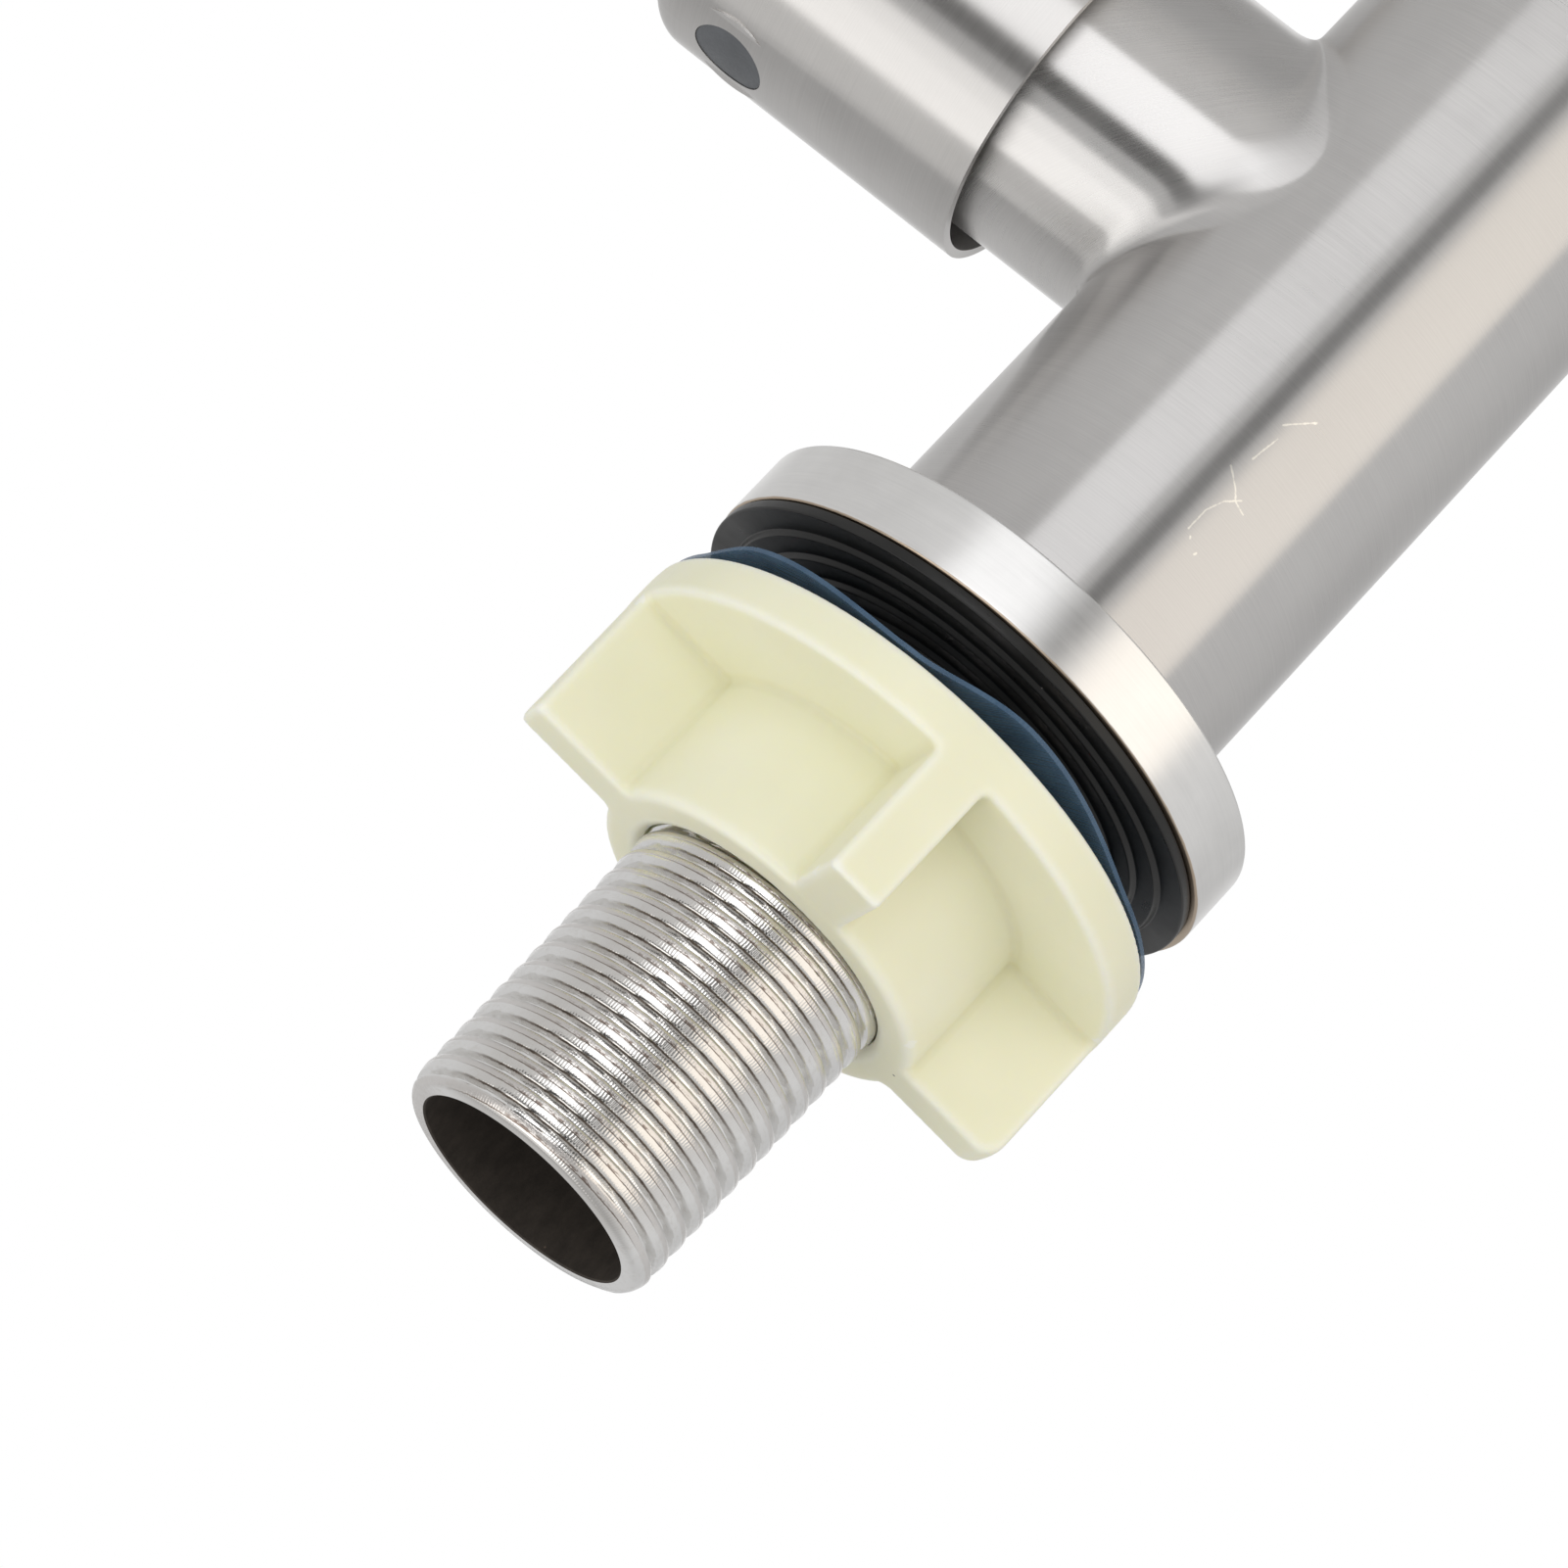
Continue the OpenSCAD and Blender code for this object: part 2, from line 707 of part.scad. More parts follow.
// The screwed sleeve that holds the aerator on the tube's end
module aerator_housing() {
    high = aerator_low + aerator_h;
    color(steel) translate([0, outlet_y, 0]) difference() {
        rotate_extrude() polygon([
            [0, aerator_low],
            [aerator_r - 2 * edge, aerator_low],
            [aerator_r, aerator_low + 2 * edge],
            [aerator_r, high - 2 * edge],
            [aerator_r - 2 * edge, high],
            [0, high]
        ]);
        translate([0, 0, aerator_low + lip_t]) cylinder(r = aerator_bore_r, h = aerator_h);
        translate([0, 0, aerator_low - over]) cylinder(d = outlet_bore_d, h = lip_t + 2 * over);
    }
}

// The rubber washer between the tube's end and the aerator insert
module aerator_washer() {
    washer_lap = 1.4;
    color(black) translate([0, outlet_y, 0])
        tube(insert_r, spout_bore_r - washer_lap, insert_high + seat_gap, outlet_z - seat_gap);
}

// The plastic flow straightener
module aerator_insert() {
    hole_r = 1.1;
    row_step = 3.4;
    rim_w = 0.8;
    rim_t = 1.5;
    color([0.85, 0.86, 0.88]) translate([0, outlet_y, 0]) difference() {
        union() {
            translate([0, 0, insert_low]) cylinder(r = insert_r - rim_w, h = insert_high - insert_low);
            translate([0, 0, insert_high - rim_t]) cylinder(r = insert_r, h = rim_t);
        }
        for (row = [0 : 2])
            for (i = [0 : max(1, 6 * row) - 1])
                rotate([0, 0, i * 60 / max(1, row)]) translate([row * row_step, 0, insert_low - over])
                    cylinder(r = hole_r, h = aerator_h);
    }
}

// The steel mesh at the mouth of the aerator
module aerator_mesh() {
    frame_w = 1.4;
    mesh_r = insert_r - 0.2;
    open_r = mesh_r - frame_w;
    step = 2 * open_r / mesh_bars;
    color(steel) translate([0, outlet_y, mesh_low]) linear_extrude(mesh_t) union() {
        difference() {
            circle(r = mesh_r);
            circle(r = open_r);
        }
        intersection() {
            circle(r = open_r + edge);
            union() for (i = [0 : mesh_bars]) {
                translate([-open_r + i * step - mesh_bar / 2, -mesh_r])
                    square([mesh_bar, 2 * mesh_r]);
                translate([-mesh_r, -open_r + i * step - mesh_bar / 2])
                    square([2 * mesh_r, mesh_bar]);
            }
        }
    }
}

body_shell();
base_ring();
shank();
base_gasket();
slip_washer();
wing_nut();
waterway_core();
core_seal();
seat_seal();
fixed_disc();
moving_disc();
cartridge_body();
cartridge_gasket();
cartridge_stem();
stem_seals();
stem_clip();
handle_cap();
handle_lever();
clamp_screw();
screw_plug();
spout_seat();
lower_slip_ring();
upper_slip_ring();
swivel_collar();
spout_spigot();
spigot_seals();
spout_tube();
aerator_housing();
aerator_washer();
aerator_insert();
aerator_mesh();
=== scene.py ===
"""Looks of a single-lever deck tap for filtered water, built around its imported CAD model.

The body, base ring, shank, gasket, slip washer and wing nut are made anew, in finer shapes than
the CAD's. All other pieces keep their CAD shape and get a material. Shapes are worked out in
millimetres, and turned into metres when a mesh is made. The frame is the CAD's: +Z up, the valve
branch along +X, the spout along -Y, and the deck's plane at Z = 0.
"""
import math

import bpy
import numpy as np
from mathutils import Matrix, Vector


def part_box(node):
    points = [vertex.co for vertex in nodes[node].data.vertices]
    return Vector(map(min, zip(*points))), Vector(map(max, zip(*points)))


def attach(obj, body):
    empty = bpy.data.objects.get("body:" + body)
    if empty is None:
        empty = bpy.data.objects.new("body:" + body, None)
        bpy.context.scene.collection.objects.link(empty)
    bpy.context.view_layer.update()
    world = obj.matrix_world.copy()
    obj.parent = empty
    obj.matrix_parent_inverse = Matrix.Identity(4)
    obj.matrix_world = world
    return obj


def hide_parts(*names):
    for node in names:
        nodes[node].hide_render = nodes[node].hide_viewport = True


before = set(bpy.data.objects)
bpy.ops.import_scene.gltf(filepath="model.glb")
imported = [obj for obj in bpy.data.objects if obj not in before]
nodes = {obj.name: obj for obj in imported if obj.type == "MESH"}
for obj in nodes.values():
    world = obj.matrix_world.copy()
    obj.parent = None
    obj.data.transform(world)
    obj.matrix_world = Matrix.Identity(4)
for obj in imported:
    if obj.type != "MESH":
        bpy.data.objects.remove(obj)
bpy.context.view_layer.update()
MM = 0.001


def box_mm(name):
    """Lowest and highest corner of a CAD node, in millimetres."""
    low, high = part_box(name)
    return np.array(low) / MM, np.array(high) / MM


def ring_mm(name):
    """Outer radius, lowest and highest Z of a round CAD node on the body's axis."""
    low, high = box_mm(name)
    return (high[0] - low[0]) / 2, low[2], high[2]


# Sizes that the frame gives
SHELL_LOW, SHELL_HIGH = box_mm("body_shell")
BODY_R = (SHELL_HIGH[1] - SHELL_LOW[1]) / 2
BODY_LOW, BODY_TOP = SHELL_LOW[2], SHELL_HIGH[2]
BRANCH_END = SHELL_HIGH[0]
CAP_LOW, CAP_HIGH = box_mm("handle_cap")
BRANCH_Z = (CAP_LOW[2] + CAP_HIGH[2]) / 2
RING_R, RING_LOW, RING_TOP = ring_mm("base_ring")
GASKET_R, GASKET_LOW, GASKET_TOP = ring_mm("base_gasket")
WASHER_R, WASHER_LOW, WASHER_TOP = ring_mm("slip_washer")
NUT_R, NUT_LOW, NUT_TOP = ring_mm("wing_nut")
SHANK_COLLAR_R, SHANK_LOW, SHANK_TOP = ring_mm("shank")

# Sizes that the boxes don't show
THREAD_R = 20.955 / 2
THREAD_PITCH = 1.814
SHANK_BORE_R = 8.7
BODY_BORE_R = 12.2
BRANCH_R = 12.85
BRANCH_BORE_R = 10.54
RING_STEP = 1.0


# Mesh tools

def add_object(name, mesh):
    made = bpy.data.objects.new(name, mesh)
    bpy.context.scene.collection.objects.link(made)
    return made


def mesh_object(name, points, faces, sharp_angle=35.0):
    """A smooth-shaded object from points in millimetres, with edges over sharp_angle kept crisp."""
    mesh = bpy.data.meshes.new(name)
    mesh.from_pydata((np.asarray(points, float) * MM).tolist(), [], [list(map(int, f)) for f in faces])
    mesh.validate()
    mesh.shade_smooth()
    mesh.set_sharp_from_angle(angle=math.radians(sharp_angle))
    made = add_object(name, mesh)
    even = made.modifiers.new("Even normals", "WEIGHTED_NORMAL")
    even.keep_sharp = True
    return made


def rounded(corners, steps=5):
    """A closed outline through (r, z, radius) corners, each corner rounded to its radius."""
    outline = []
    for i, (r, z, radius) in enumerate(corners):
        here = np.array((r, z), float)
        if radius == 0:
            outline.append(here)
            continue
        back = np.array(corners[i - 1][:2]) - here
        ahead = np.array(corners[(i + 1) % len(corners)][:2]) - here
        back /= np.linalg.norm(back)
        ahead /= np.linalg.norm(ahead)
        half = math.acos(float(back @ ahead)) / 2
        middle = back + ahead
        centre = here + middle / np.linalg.norm(middle) * radius / math.sin(half)
        first = here + back * radius / math.tan(half) - centre
        last = here + ahead * radius / math.tan(half) - centre
        start = math.atan2(first[1], first[0])
        turn = (math.atan2(last[1], last[0]) - start + math.pi) % (2 * math.pi) - math.pi
        for k in range(steps + 1):
            angle = start + turn * k / steps
            outline.append(centre + radius * np.array((math.cos(angle), math.sin(angle))))
    return outline


def lathe(name, outline, steps=192, offset=(0.0, 0.0, 0.0), sharp_angle=35.0):
    """A closed (r, z) outline turned round the Z axis through offset."""
    outline = np.asarray(outline, float)
    count = len(outline)
    angles = np.linspace(0, 2 * math.pi, steps, endpoint=False)
    r, z = outline[:, 0][None, :], outline[:, 1][None, :]
    c, s = np.cos(angles)[:, None], np.sin(angles)[:, None]
    points = np.stack([r * c, r * s, z + 0 * c], -1).reshape(-1, 3) + offset
    faces = []
    for i in range(steps):
        a, b = i * count, ((i + 1) % steps) * count
        for j in range(count):
            k = (j + 1) % count
            faces.append((a + j, b + j, b + k, a + k))
    area = np.sum(outline[:, 0] * np.roll(outline[:, 1], -1) - np.roll(outline[:, 0], -1) * outline[:, 1])
    if area < 0:
        faces = [f[::-1] for f in faces]
    return mesh_object(name, points, faces, sharp_angle)


def surface_net(name, field, low, high, step):
    """A mesh of the shape inside which field(points) is negative, with normals from the field."""
    axes = [np.arange(a - 2 * step, b + 3 * step, step) for a, b in zip(low, high)]
    grid = np.stack(np.meshgrid(*axes, indexing="ij"), -1)
    inside = field(grid) < 0
    nx, ny, nz = (n - 1 for n in inside.shape)
    count = sum(inside[i:nx + i, j:ny + j, k:nz + k].astype(np.int8)
                for i in (0, 1) for j in (0, 1) for k in (0, 1))
    active = (count > 0) & (count < 8)
    index = np.full(active.shape, -1)
    index[active] = np.arange(active.sum())
    points = grid[:-1, :-1, :-1][active] + step / 2

    def slope(at):
        small = step / 50
        parts = [field(at + small * axis) - field(at - small * axis) for axis in np.eye(3)]
        return np.stack(parts, -1) / (2 * small)

    # Moves the points onto the surface, each time by less than a cell of the grid
    for _ in range(5):
        normal = slope(points)
        size = np.maximum((normal ** 2).sum(-1), 0.05)
        move = -(field(points) / size)[:, None] * normal
        length = np.maximum(np.linalg.norm(move, axis=-1, keepdims=True), 1e-9)
        points = points + move * np.minimum(1, 0.6 * step / length)

    faces = []
    for a in range(3):
        b, c = (a + 1) % 3, (a + 2) % 3
        here = np.take(inside, range(0, inside.shape[a] - 1), a)
        there = np.take(inside, range(1, inside.shape[a]), a)
        where = np.argwhere(here != there)
        keep = (where[:, b] > 0) & (where[:, b] < inside.shape[b] - 1)
        keep &= (where[:, c] > 0) & (where[:, c] < inside.shape[c] - 1)
        where = where[keep]
        corners = []
        for db, dc in ((1, 1), (0, 1), (0, 0), (1, 0)):
            cell = where.copy()
            cell[:, b] -= db
            cell[:, c] -= dc
            corners.append(index[tuple(cell.T)])
        quads = np.stack(corners, 1)
        outward = here[tuple(where.T)]
        quads[~outward] = quads[~outward][:, ::-1]
        faces.append(quads)
    faces = np.concatenate(faces)

    mesh = bpy.data.meshes.new(name)
    mesh.from_pydata((points * MM).tolist(), [], faces.tolist())
    mesh.shade_smooth()
    normal = slope(points)
    normal /= np.maximum(np.linalg.norm(normal, axis=-1, keepdims=True), 1e-9)
    mesh.normals_split_custom_set_from_vertices(normal.tolist())
    return add_object(name, mesh)


# Distance fields, negative inside

def merged(a, b, soft):
    """The union of two fields, with a fillet of about the radius soft."""
    h = np.maximum(soft - np.abs(a - b), 0) / np.maximum(soft, 1e-6)
    return np.minimum(a, b) - h * h * soft / 4


def cut(a, b, soft):
    """Field a without field b, with the edge broken by about soft."""
    return -merged(-a, b, soft)


def common(a, b, soft):
    """Where both fields are, with the edge broken by about soft."""
    return -merged(-a, -b, soft)


def drum(radial, along, radius, low, high, shade_and_glow_curvature):
    """A cylinder from low to high with edges rounded to the radius edge."""
    out = radial - radius + shade_and_glow_curvature
    up = np.abs(along - (low + high) / 2) - (high - low) / 2 + shade_and_glow_curvature
    return np.minimum(np.maximum(out, up), 0) + np.hypot(np.maximum(out, 0), np.maximum(up, 0)) - shade_and_glow_curvature


# Node tools

def add_node(tree, kind, inputs=None, **settings):
    """Adds a node, sets its properties, and sets or links its inputs."""
    made = tree.nodes.new(kind)
    for key, value in settings.items():
        setattr(made, key, value)
    for key, value in (inputs or {}).items():
        if isinstance(value, bpy.types.NodeSocket):
            tree.links.new(value, made.inputs[key])
        else:
            made.inputs[key].default_value = value
    return made


def new_material(name, **sockets):
    """A material with one Principled shader; sockets holds its fixed values."""
    made = bpy.data.materials.new(name)
    made.use_nodes = True
    tree = made.node_tree
    shader = tree.nodes["Principled BSDF"]
    for key, value in sockets.items():
        shader.inputs[key.replace("_", " ")].default_value = value
    return made, tree, shader


def place(tree):
    """The point in the row frame, in metres."""
    return add_node(tree, "ShaderNodeTexCoord").outputs["Object"]


def azimuth(tree):
    """The angle round the body's axis in radians, and the height above the deck in metres."""
    axes = add_node(tree, "ShaderNodeSeparateXYZ", {0: place(tree)}).outputs
    return math_node(tree, "ARCTAN2", axes["Y"], axes["X"]), axes["Z"]


def math_node(tree, operation, a, b=0.0, c=0.0):
    return add_node(tree, "ShaderNodeMath", {0: a, 1: b, 2: c}, operation=operation).outputs[0]


def vector_node(tree, operation, inputs):
    """The result of vector maths: a number for a length or a product, otherwise a vector."""
    made = add_node(tree, "ShaderNodeVectorMath", inputs, operation=operation)
    return made.outputs["Value" if operation in ("LENGTH", "DISTANCE", "DOT_PRODUCT") else "Vector"]


def grain(tree, size, detail=2.0, roughness=0.5, turn=(0.0, 0.0, 0.0)):
    """Noise with blotches of size millimetres, or of three sizes along X, Y and Z after a turn."""
    size = size if isinstance(size, tuple) else (size, size, size)
    turned = add_node(tree, "ShaderNodeMapping", {"Vector": place(tree), "Rotation": turn})
    scale = [1 / (s * MM) for s in size]
    scaled = add_node(tree, "ShaderNodeMapping", {"Vector": turned.outputs[0], "Scale": scale})
    inputs = {"Vector": scaled.outputs[0], "Scale": 1.0, "Detail": detail, "Roughness": roughness}
    return add_node(tree, "ShaderNodeTexNoise", inputs).outputs[0]


def specks(tree, size, share, spread=1.0):
    """A mask of small round dots: cells of size millimetres, of which the given share holds a dot."""
    inputs = {"Vector": place(tree), "Scale": 1 / (size * MM), "Randomness": 1.0}
    cells = add_node(tree, "ShaderNodeTexVoronoi", inputs)
    near = remap(tree, cells.outputs["Distance"], 0.10 * spread, 0.05 * spread, 0.0, 1.0)
    chosen = add_node(tree, "ShaderNodeSeparateColor", {0: cells.outputs["Color"]}).outputs[0]
    return math_node(tree, "MULTIPLY", near, math_node(tree, "LESS_THAN", chosen, share))


def remap(tree, value, from_low, from_high, to_low, to_high, kind="LINEAR"):
    """The value's span from_low to from_high, stretched to the span to_low to to_high and clamped."""
    inputs = {0: value, 1: from_low, 2: from_high, 3: to_low, 4: to_high}
    return add_node(tree, "ShaderNodeMapRange", inputs, interpolation_type=kind).outputs[0]


def mixed(tree, share, a, b):
    """Colour a, with share of colour b over it."""
    made = add_node(tree, "ShaderNodeMix", data_type="RGBA")
    for socket, value in zip([made.inputs[0], made.inputs[6], made.inputs[7]], [share, a, b]):
        if isinstance(value, bpy.types.NodeSocket):
            tree.links.new(value, socket)
        else:
            socket.default_value = (*value, 1.0) if isinstance(value, tuple) else value
    return made.outputs[2]


def shades(tree, value, a, b, low=0.3, high=0.7):
    """Colour a where the value is low, going over to colour b where it is high."""
    return mixed(tree, remap(tree, value, low, high, 0, 1), a, b)


def tone_ramp(tree, value, stops):
    """A colour ramp from (position, colour) stops."""
    made = add_node(tree, "ShaderNodeValToRGB", {"Fac": value})
    ramp = made.color_ramp.elements
    while len(ramp) < len(stops):
        ramp.new(0.5)
    for element, (position, colour) in zip(ramp, stops):
        element.position = position
        element.color = (*colour, 1.0)
    return made.outputs["Color"]


def bump(tree, shader, height, depth, below=None):
    """Gives the shader a bump of depth millimetres, on top of another bump's normal."""
    inputs = {"Height": height, "Distance": depth * MM, "Strength": 1.0}
    if below is not None:
        inputs["Normal"] = below
    made = add_node(tree, "ShaderNodeBump", inputs)
    tree.links.new(made.outputs[0], shader.inputs["Normal"])
    return made.outputs[0]


def feed(tree, shader, **sockets):
    """Links a value to each socket of the shader that is named, with _ for a space."""
    for key, value in sockets.items():
        tree.links.new(value, shader.inputs[key.replace("_", " ")])


def bare_tree(owner):
    """The node tree of a new material or world, emptied."""
    owner.use_nodes = True
    owner.node_tree.nodes.clear()
    return owner.node_tree


# Camera and studio

CAMERA_PLACE = Vector((-0.11047, 0.50623, -0.19595))
CAMERA_BACK = Vector((-0.2110, 0.9167, -0.3392))
CAMERA_UP = Vector((0.6141, 0.3943, 0.6836))
CAMERA_LENS = 184.55


def axes_at(point, right, up, back):
    """A matrix at a point, from the directions of its three axes."""
    return Matrix.Translation(point) @ Matrix((right, up, back)).transposed().to_4x4()


def add_camera():
    """The photo's camera, as fitted to the outlines of the ring, the nut, the body and the cap."""
    back = CAMERA_BACK.normalized()
    right = CAMERA_UP.cross(back).normalized()
    up = back.cross(right)
    data = bpy.data.cameras.new("camera")
    data.lens = CAMERA_LENS
    data.sensor_width = 36
    data.clip_start = 0.01
    made = add_object("camera", data)
    made.matrix_world = axes_at(CAMERA_PLACE, right, up, back)
    bpy.context.scene.camera = made


STUDIO_CENTRE = Vector((0.0, 0.0, 0.015))


def facing(direction, up, distance):
    """A matrix at distance along direction whose -Z side looks at the studio's centre."""
    out = Vector(direction).normalized()
    side = Vector(up).cross(out).normalized()
    return axes_at(STUDIO_CENTRE + out * distance, side, out.cross(side), out)


def add_softbox(name, direction, up, distance, spans, level, colour):
    """A rectangular lamp that spans the given degrees and shines at level times white."""
    width, height = (2 * distance * math.tan(math.radians(s / 2)) for s in spans)
    lamp = bpy.data.lights.new(name, "AREA")
    lamp.shape = "RECTANGLE"
    lamp.size, lamp.size_y = width, height
    lamp.energy = level * math.pi * width * height
    lamp.color = colour
    made = add_object(name, lamp)
    made.matrix_world = facing(direction, up, distance)
    made.visible_camera = False


def add_dark_card(name, direction, up, distance, spans, level):
    """A dark strip that only mirrors see, such as the gap between two softboxes."""
    width, height = (distance * math.tan(math.radians(s / 2)) for s in spans)
    mesh = bpy.data.meshes.new(name)
    mesh.from_pydata([(-width, -height, 0), (width, -height, 0), (width, height, 0), (-width, height, 0)],
                     [], [(0, 1, 2, 3)])
    made = add_object(name, mesh)
    made.matrix_world = facing(direction, up, distance)
    made.visible_camera = made.visible_shadow = made.visible_diffuse = made.visible_transmission = False
    dark = bpy.data.materials.new(name)
    tree = bare_tree(dark)
    glow = add_node(tree, "ShaderNodeEmission", {"Color": (1, 1, 1, 1), "Strength": level})
    add_node(tree, "ShaderNodeOutputMaterial", {0: glow.outputs[0]})
    made.data.materials.append(dark)


# Level of the room at camera height against azimuth in degrees; 103 is the camera's side
ROOM = [(-180, 0.78), (-160, 0.735), (-135, 0.63), (-115, 0.57), (-78, 0.63), (-50, 0.65),
        (-10, 0.65), (25, 0.67), (50, 0.71), (170, 0.76), (180, 0.78)]
# Its level overhead and underfoot, and the steepness of a direction from which and at which that holds
ROOM_ENDS = 0.48
ROOM_STEEP_FROM, ROOM_STEEP_TO = 0.45, 0.9
# Where mirrors see the white backdrop, and the cosines of the angles to it between which it fades in
WHITE_PATCH = (0.195, -0.845, 0.50)
WHITE_FROM, WHITE_TO = 0.88, 0.98


def add_world():
    """White behind the object; elsewhere a grey room, a little darker above and below."""
    world = bpy.data.worlds.new("studio")
    bpy.context.scene.world = world
    tree = bare_tree(world)
    ray = add_node(tree, "ShaderNodeLightPath").outputs
    seen = math_node(tree, "MAXIMUM", ray["Is Camera Ray"], ray["Is Transmission Ray"])
    direction = add_node(tree, "ShaderNodeTexCoord").outputs["Generated"]
    axes = add_node(tree, "ShaderNodeSeparateXYZ", {0: direction}).outputs
    around = math_node(tree, "ARCTAN2", axes["Y"], axes["X"])
    share = math_node(tree, "MULTIPLY_ADD", around, 0.5 / math.pi, 0.5)
    level_ring = tone_ramp(tree, share, [(degrees / 360 + 0.5, (level,) * 3) for degrees, level in ROOM])
    steep = math_node(tree, "ABSOLUTE", axes["Z"])
    room = shades(tree, steep, level_ring, (ROOM_ENDS,) * 3, ROOM_STEEP_FROM, ROOM_STEEP_TO)
    behind = vector_node(tree, "DOT_PRODUCT", {0: direction, 1: WHITE_PATCH})
    backdrop = remap(tree, behind, WHITE_FROM, WHITE_TO, 0, 1, "SMOOTHSTEP")
    white = math_node(tree, "MAXIMUM", seen, backdrop)
    light = add_node(tree, "ShaderNodeBackground", {"Color": mixed(tree, white, room, (1.0, 1.0, 1.0))})
    add_node(tree, "ShaderNodeOutputWorld", {0: light.outputs[0]})


# The floor's radius, and the distance at which it begins to fade, in metres
FLOOR_R = 0.55
FLOOR_FADE = 0.3
FLOOR_GAP = 0.2
FLOOR_CORNERS = 96


def add_floor():
    """A pale floor just under the shank, seen only from above, that fades out into the white."""
    mesh = bpy.data.meshes.new("floor")
    angles = [2 * math.pi * i / FLOOR_CORNERS for i in range(FLOOR_CORNERS)]
    ring = [(FLOOR_R * math.cos(a), FLOOR_R * math.sin(a), 0) for a in angles]
    mesh.from_pydata(ring, [], [list(range(FLOOR_CORNERS))])
    made = add_object("floor", mesh)
    made.location.z = (SHANK_LOW - FLOOR_GAP) * MM
    made.visible_shadow = made.visible_glossy = made.visible_transmission = made.visible_diffuse = False
    pale = bpy.data.materials.new("floor")
    tree = bare_tree(pale)
    lit = add_node(tree, "ShaderNodeBsdfDiffuse", {"Color": (0.62, 0.62, 0.62, 1)})
    base = add_node(tree, "ShaderNodeEmission", {"Color": (1, 1, 1, 1), "Strength": 0.42})
    floor = add_node(tree, "ShaderNodeAddShader", {0: lit.outputs[0], 1: base.outputs[0]})
    clear = add_node(tree, "ShaderNodeBsdfTransparent")
    reach = vector_node(tree, "LENGTH", {0: place(tree)})
    gone = remap(tree, reach, FLOOR_FADE, FLOOR_R * 0.98, 0, 1, "SMOOTHSTEP")
    below = add_node(tree, "ShaderNodeNewGeometry").outputs["Backfacing"]
    hidden = math_node(tree, "MAXIMUM", gone, below)
    shown = add_node(tree, "ShaderNodeMixShader", {0: hidden, 1: floor.outputs[0], 2: clear.outputs[0]})
    add_node(tree, "ShaderNodeOutputMaterial", {0: shown.outputs[0]})
    mesh.materials.append(pale)


def add_studio():
    add_world()
    add_floor()
    # A bright strip before the tap, a wide warm softbox to its side and a neutral one below it
    add_softbox("softbox_front", (0.179, 0.965, -0.02), (0, 0, 1), 0.4, (35, 33), 1.37, (0.965, 0.975, 1.0))
    add_softbox("softbox_side", (-0.78, 0.54, 0.30), (0, 0, 1), 0.9, (46, 60), 0.66, (1.0, 0.89, 0.74))
    add_softbox("softbox_low", (0.25, 0.37, -0.90), (1, 0, 0), 0.9, (37, 46), 1.1, (1.0, 0.99, 0.975))
    add_softbox("softbox_low_core", (0.25, 0.31, -0.91), (1, 0, 0), 0.88, (18, 46), 0.24, (1.0, 0.99, 0.975))
    add_softbox("softbox_low_edge", (0.25, -0.13, -0.96), (1, 0, 0), 0.85, (34, 46), 0.42, (1.0, 0.99, 0.97))
    add_dark_card("low_gap", (0.211, 0.87, -0.445), (1, 0, 0), 0.35, (13, 56), 0.05)
    add_dark_card("side_gap", (-0.324, 0.945, 0.2), (0, 0, 1), 0.35, (9.5, 70), 0.2)


# Materials

def turned_tangent(tree, axis):
    """The direction round an axis, along which tools and brushes run."""
    return add_node(tree, "ShaderNodeTangent", direction_type="RADIAL", axis=axis).outputs[0]


# Length of the brush strokes, and their share in the steel's tone, next to that of its clouds
STROKE_LENGTH = 9.0
STROKE_SHARE = 0.55


def brushed(name, colour, axis="Z", rough=(0.22, 0.34), stroke=0.14, anisotropic=0.55, relief=0.0012,
            cloud=7.0, tone=0.06):
    """Brushed steel with fine strokes round an axis and slow clouds in its tone."""
    made, tree, shader = new_material(name, Metallic=1.0, Anisotropic=anisotropic, Anisotropic_Rotation=0.25)
    size = {"Z": (STROKE_LENGTH, STROKE_LENGTH, stroke), "X": (stroke, STROKE_LENGTH, STROKE_LENGTH)}[axis]
    strokes = grain(tree, size, detail=3.0, roughness=0.65)
    clouds = grain(tree, cloud)
    dark = tuple(c * (1 - tone) for c in colour)
    light = tuple(min(c * (1 + tone), 1) for c in colour)
    both = math_node(tree, "MULTIPLY_ADD", clouds, 1 - STROKE_SHARE,
                     math_node(tree, "MULTIPLY", strokes, STROKE_SHARE))
    feed(tree, shader,
         Base_Color=shades(tree, both, dark, light, 0.35, 0.65),
         Roughness=remap(tree, both, 0.3, 0.7, *rough),
         Tangent=turned_tangent(tree, axis))
    bump(tree, shader, strokes, relief)
    return made


STEEL = (0.60, 0.585, 0.57)


def branch_mask(tree):
    """1 on the branch and 0 on the body, going over just outside the branch's radius."""
    flat = add_node(tree, "ShaderNodeMapping", {"Vector": place(tree), "Scale": (0, 1, 1),
                                                "Location": (0, 0, -BRANCH_Z * MM)})
    reach = vector_node(tree, "LENGTH", {0: flat.outputs[0]})
    inner = remap(tree, reach, (BRANCH_R + 0.1) * MM, (BRANCH_R + 0.7) * MM, 1, 0)
    along = add_node(tree, "ShaderNodeSeparateXYZ", {0: place(tree)}).outputs["X"]
    return math_node(tree, "MULTIPLY", inner, math_node(tree, "GREATER_THAN", along, 2 * MM))


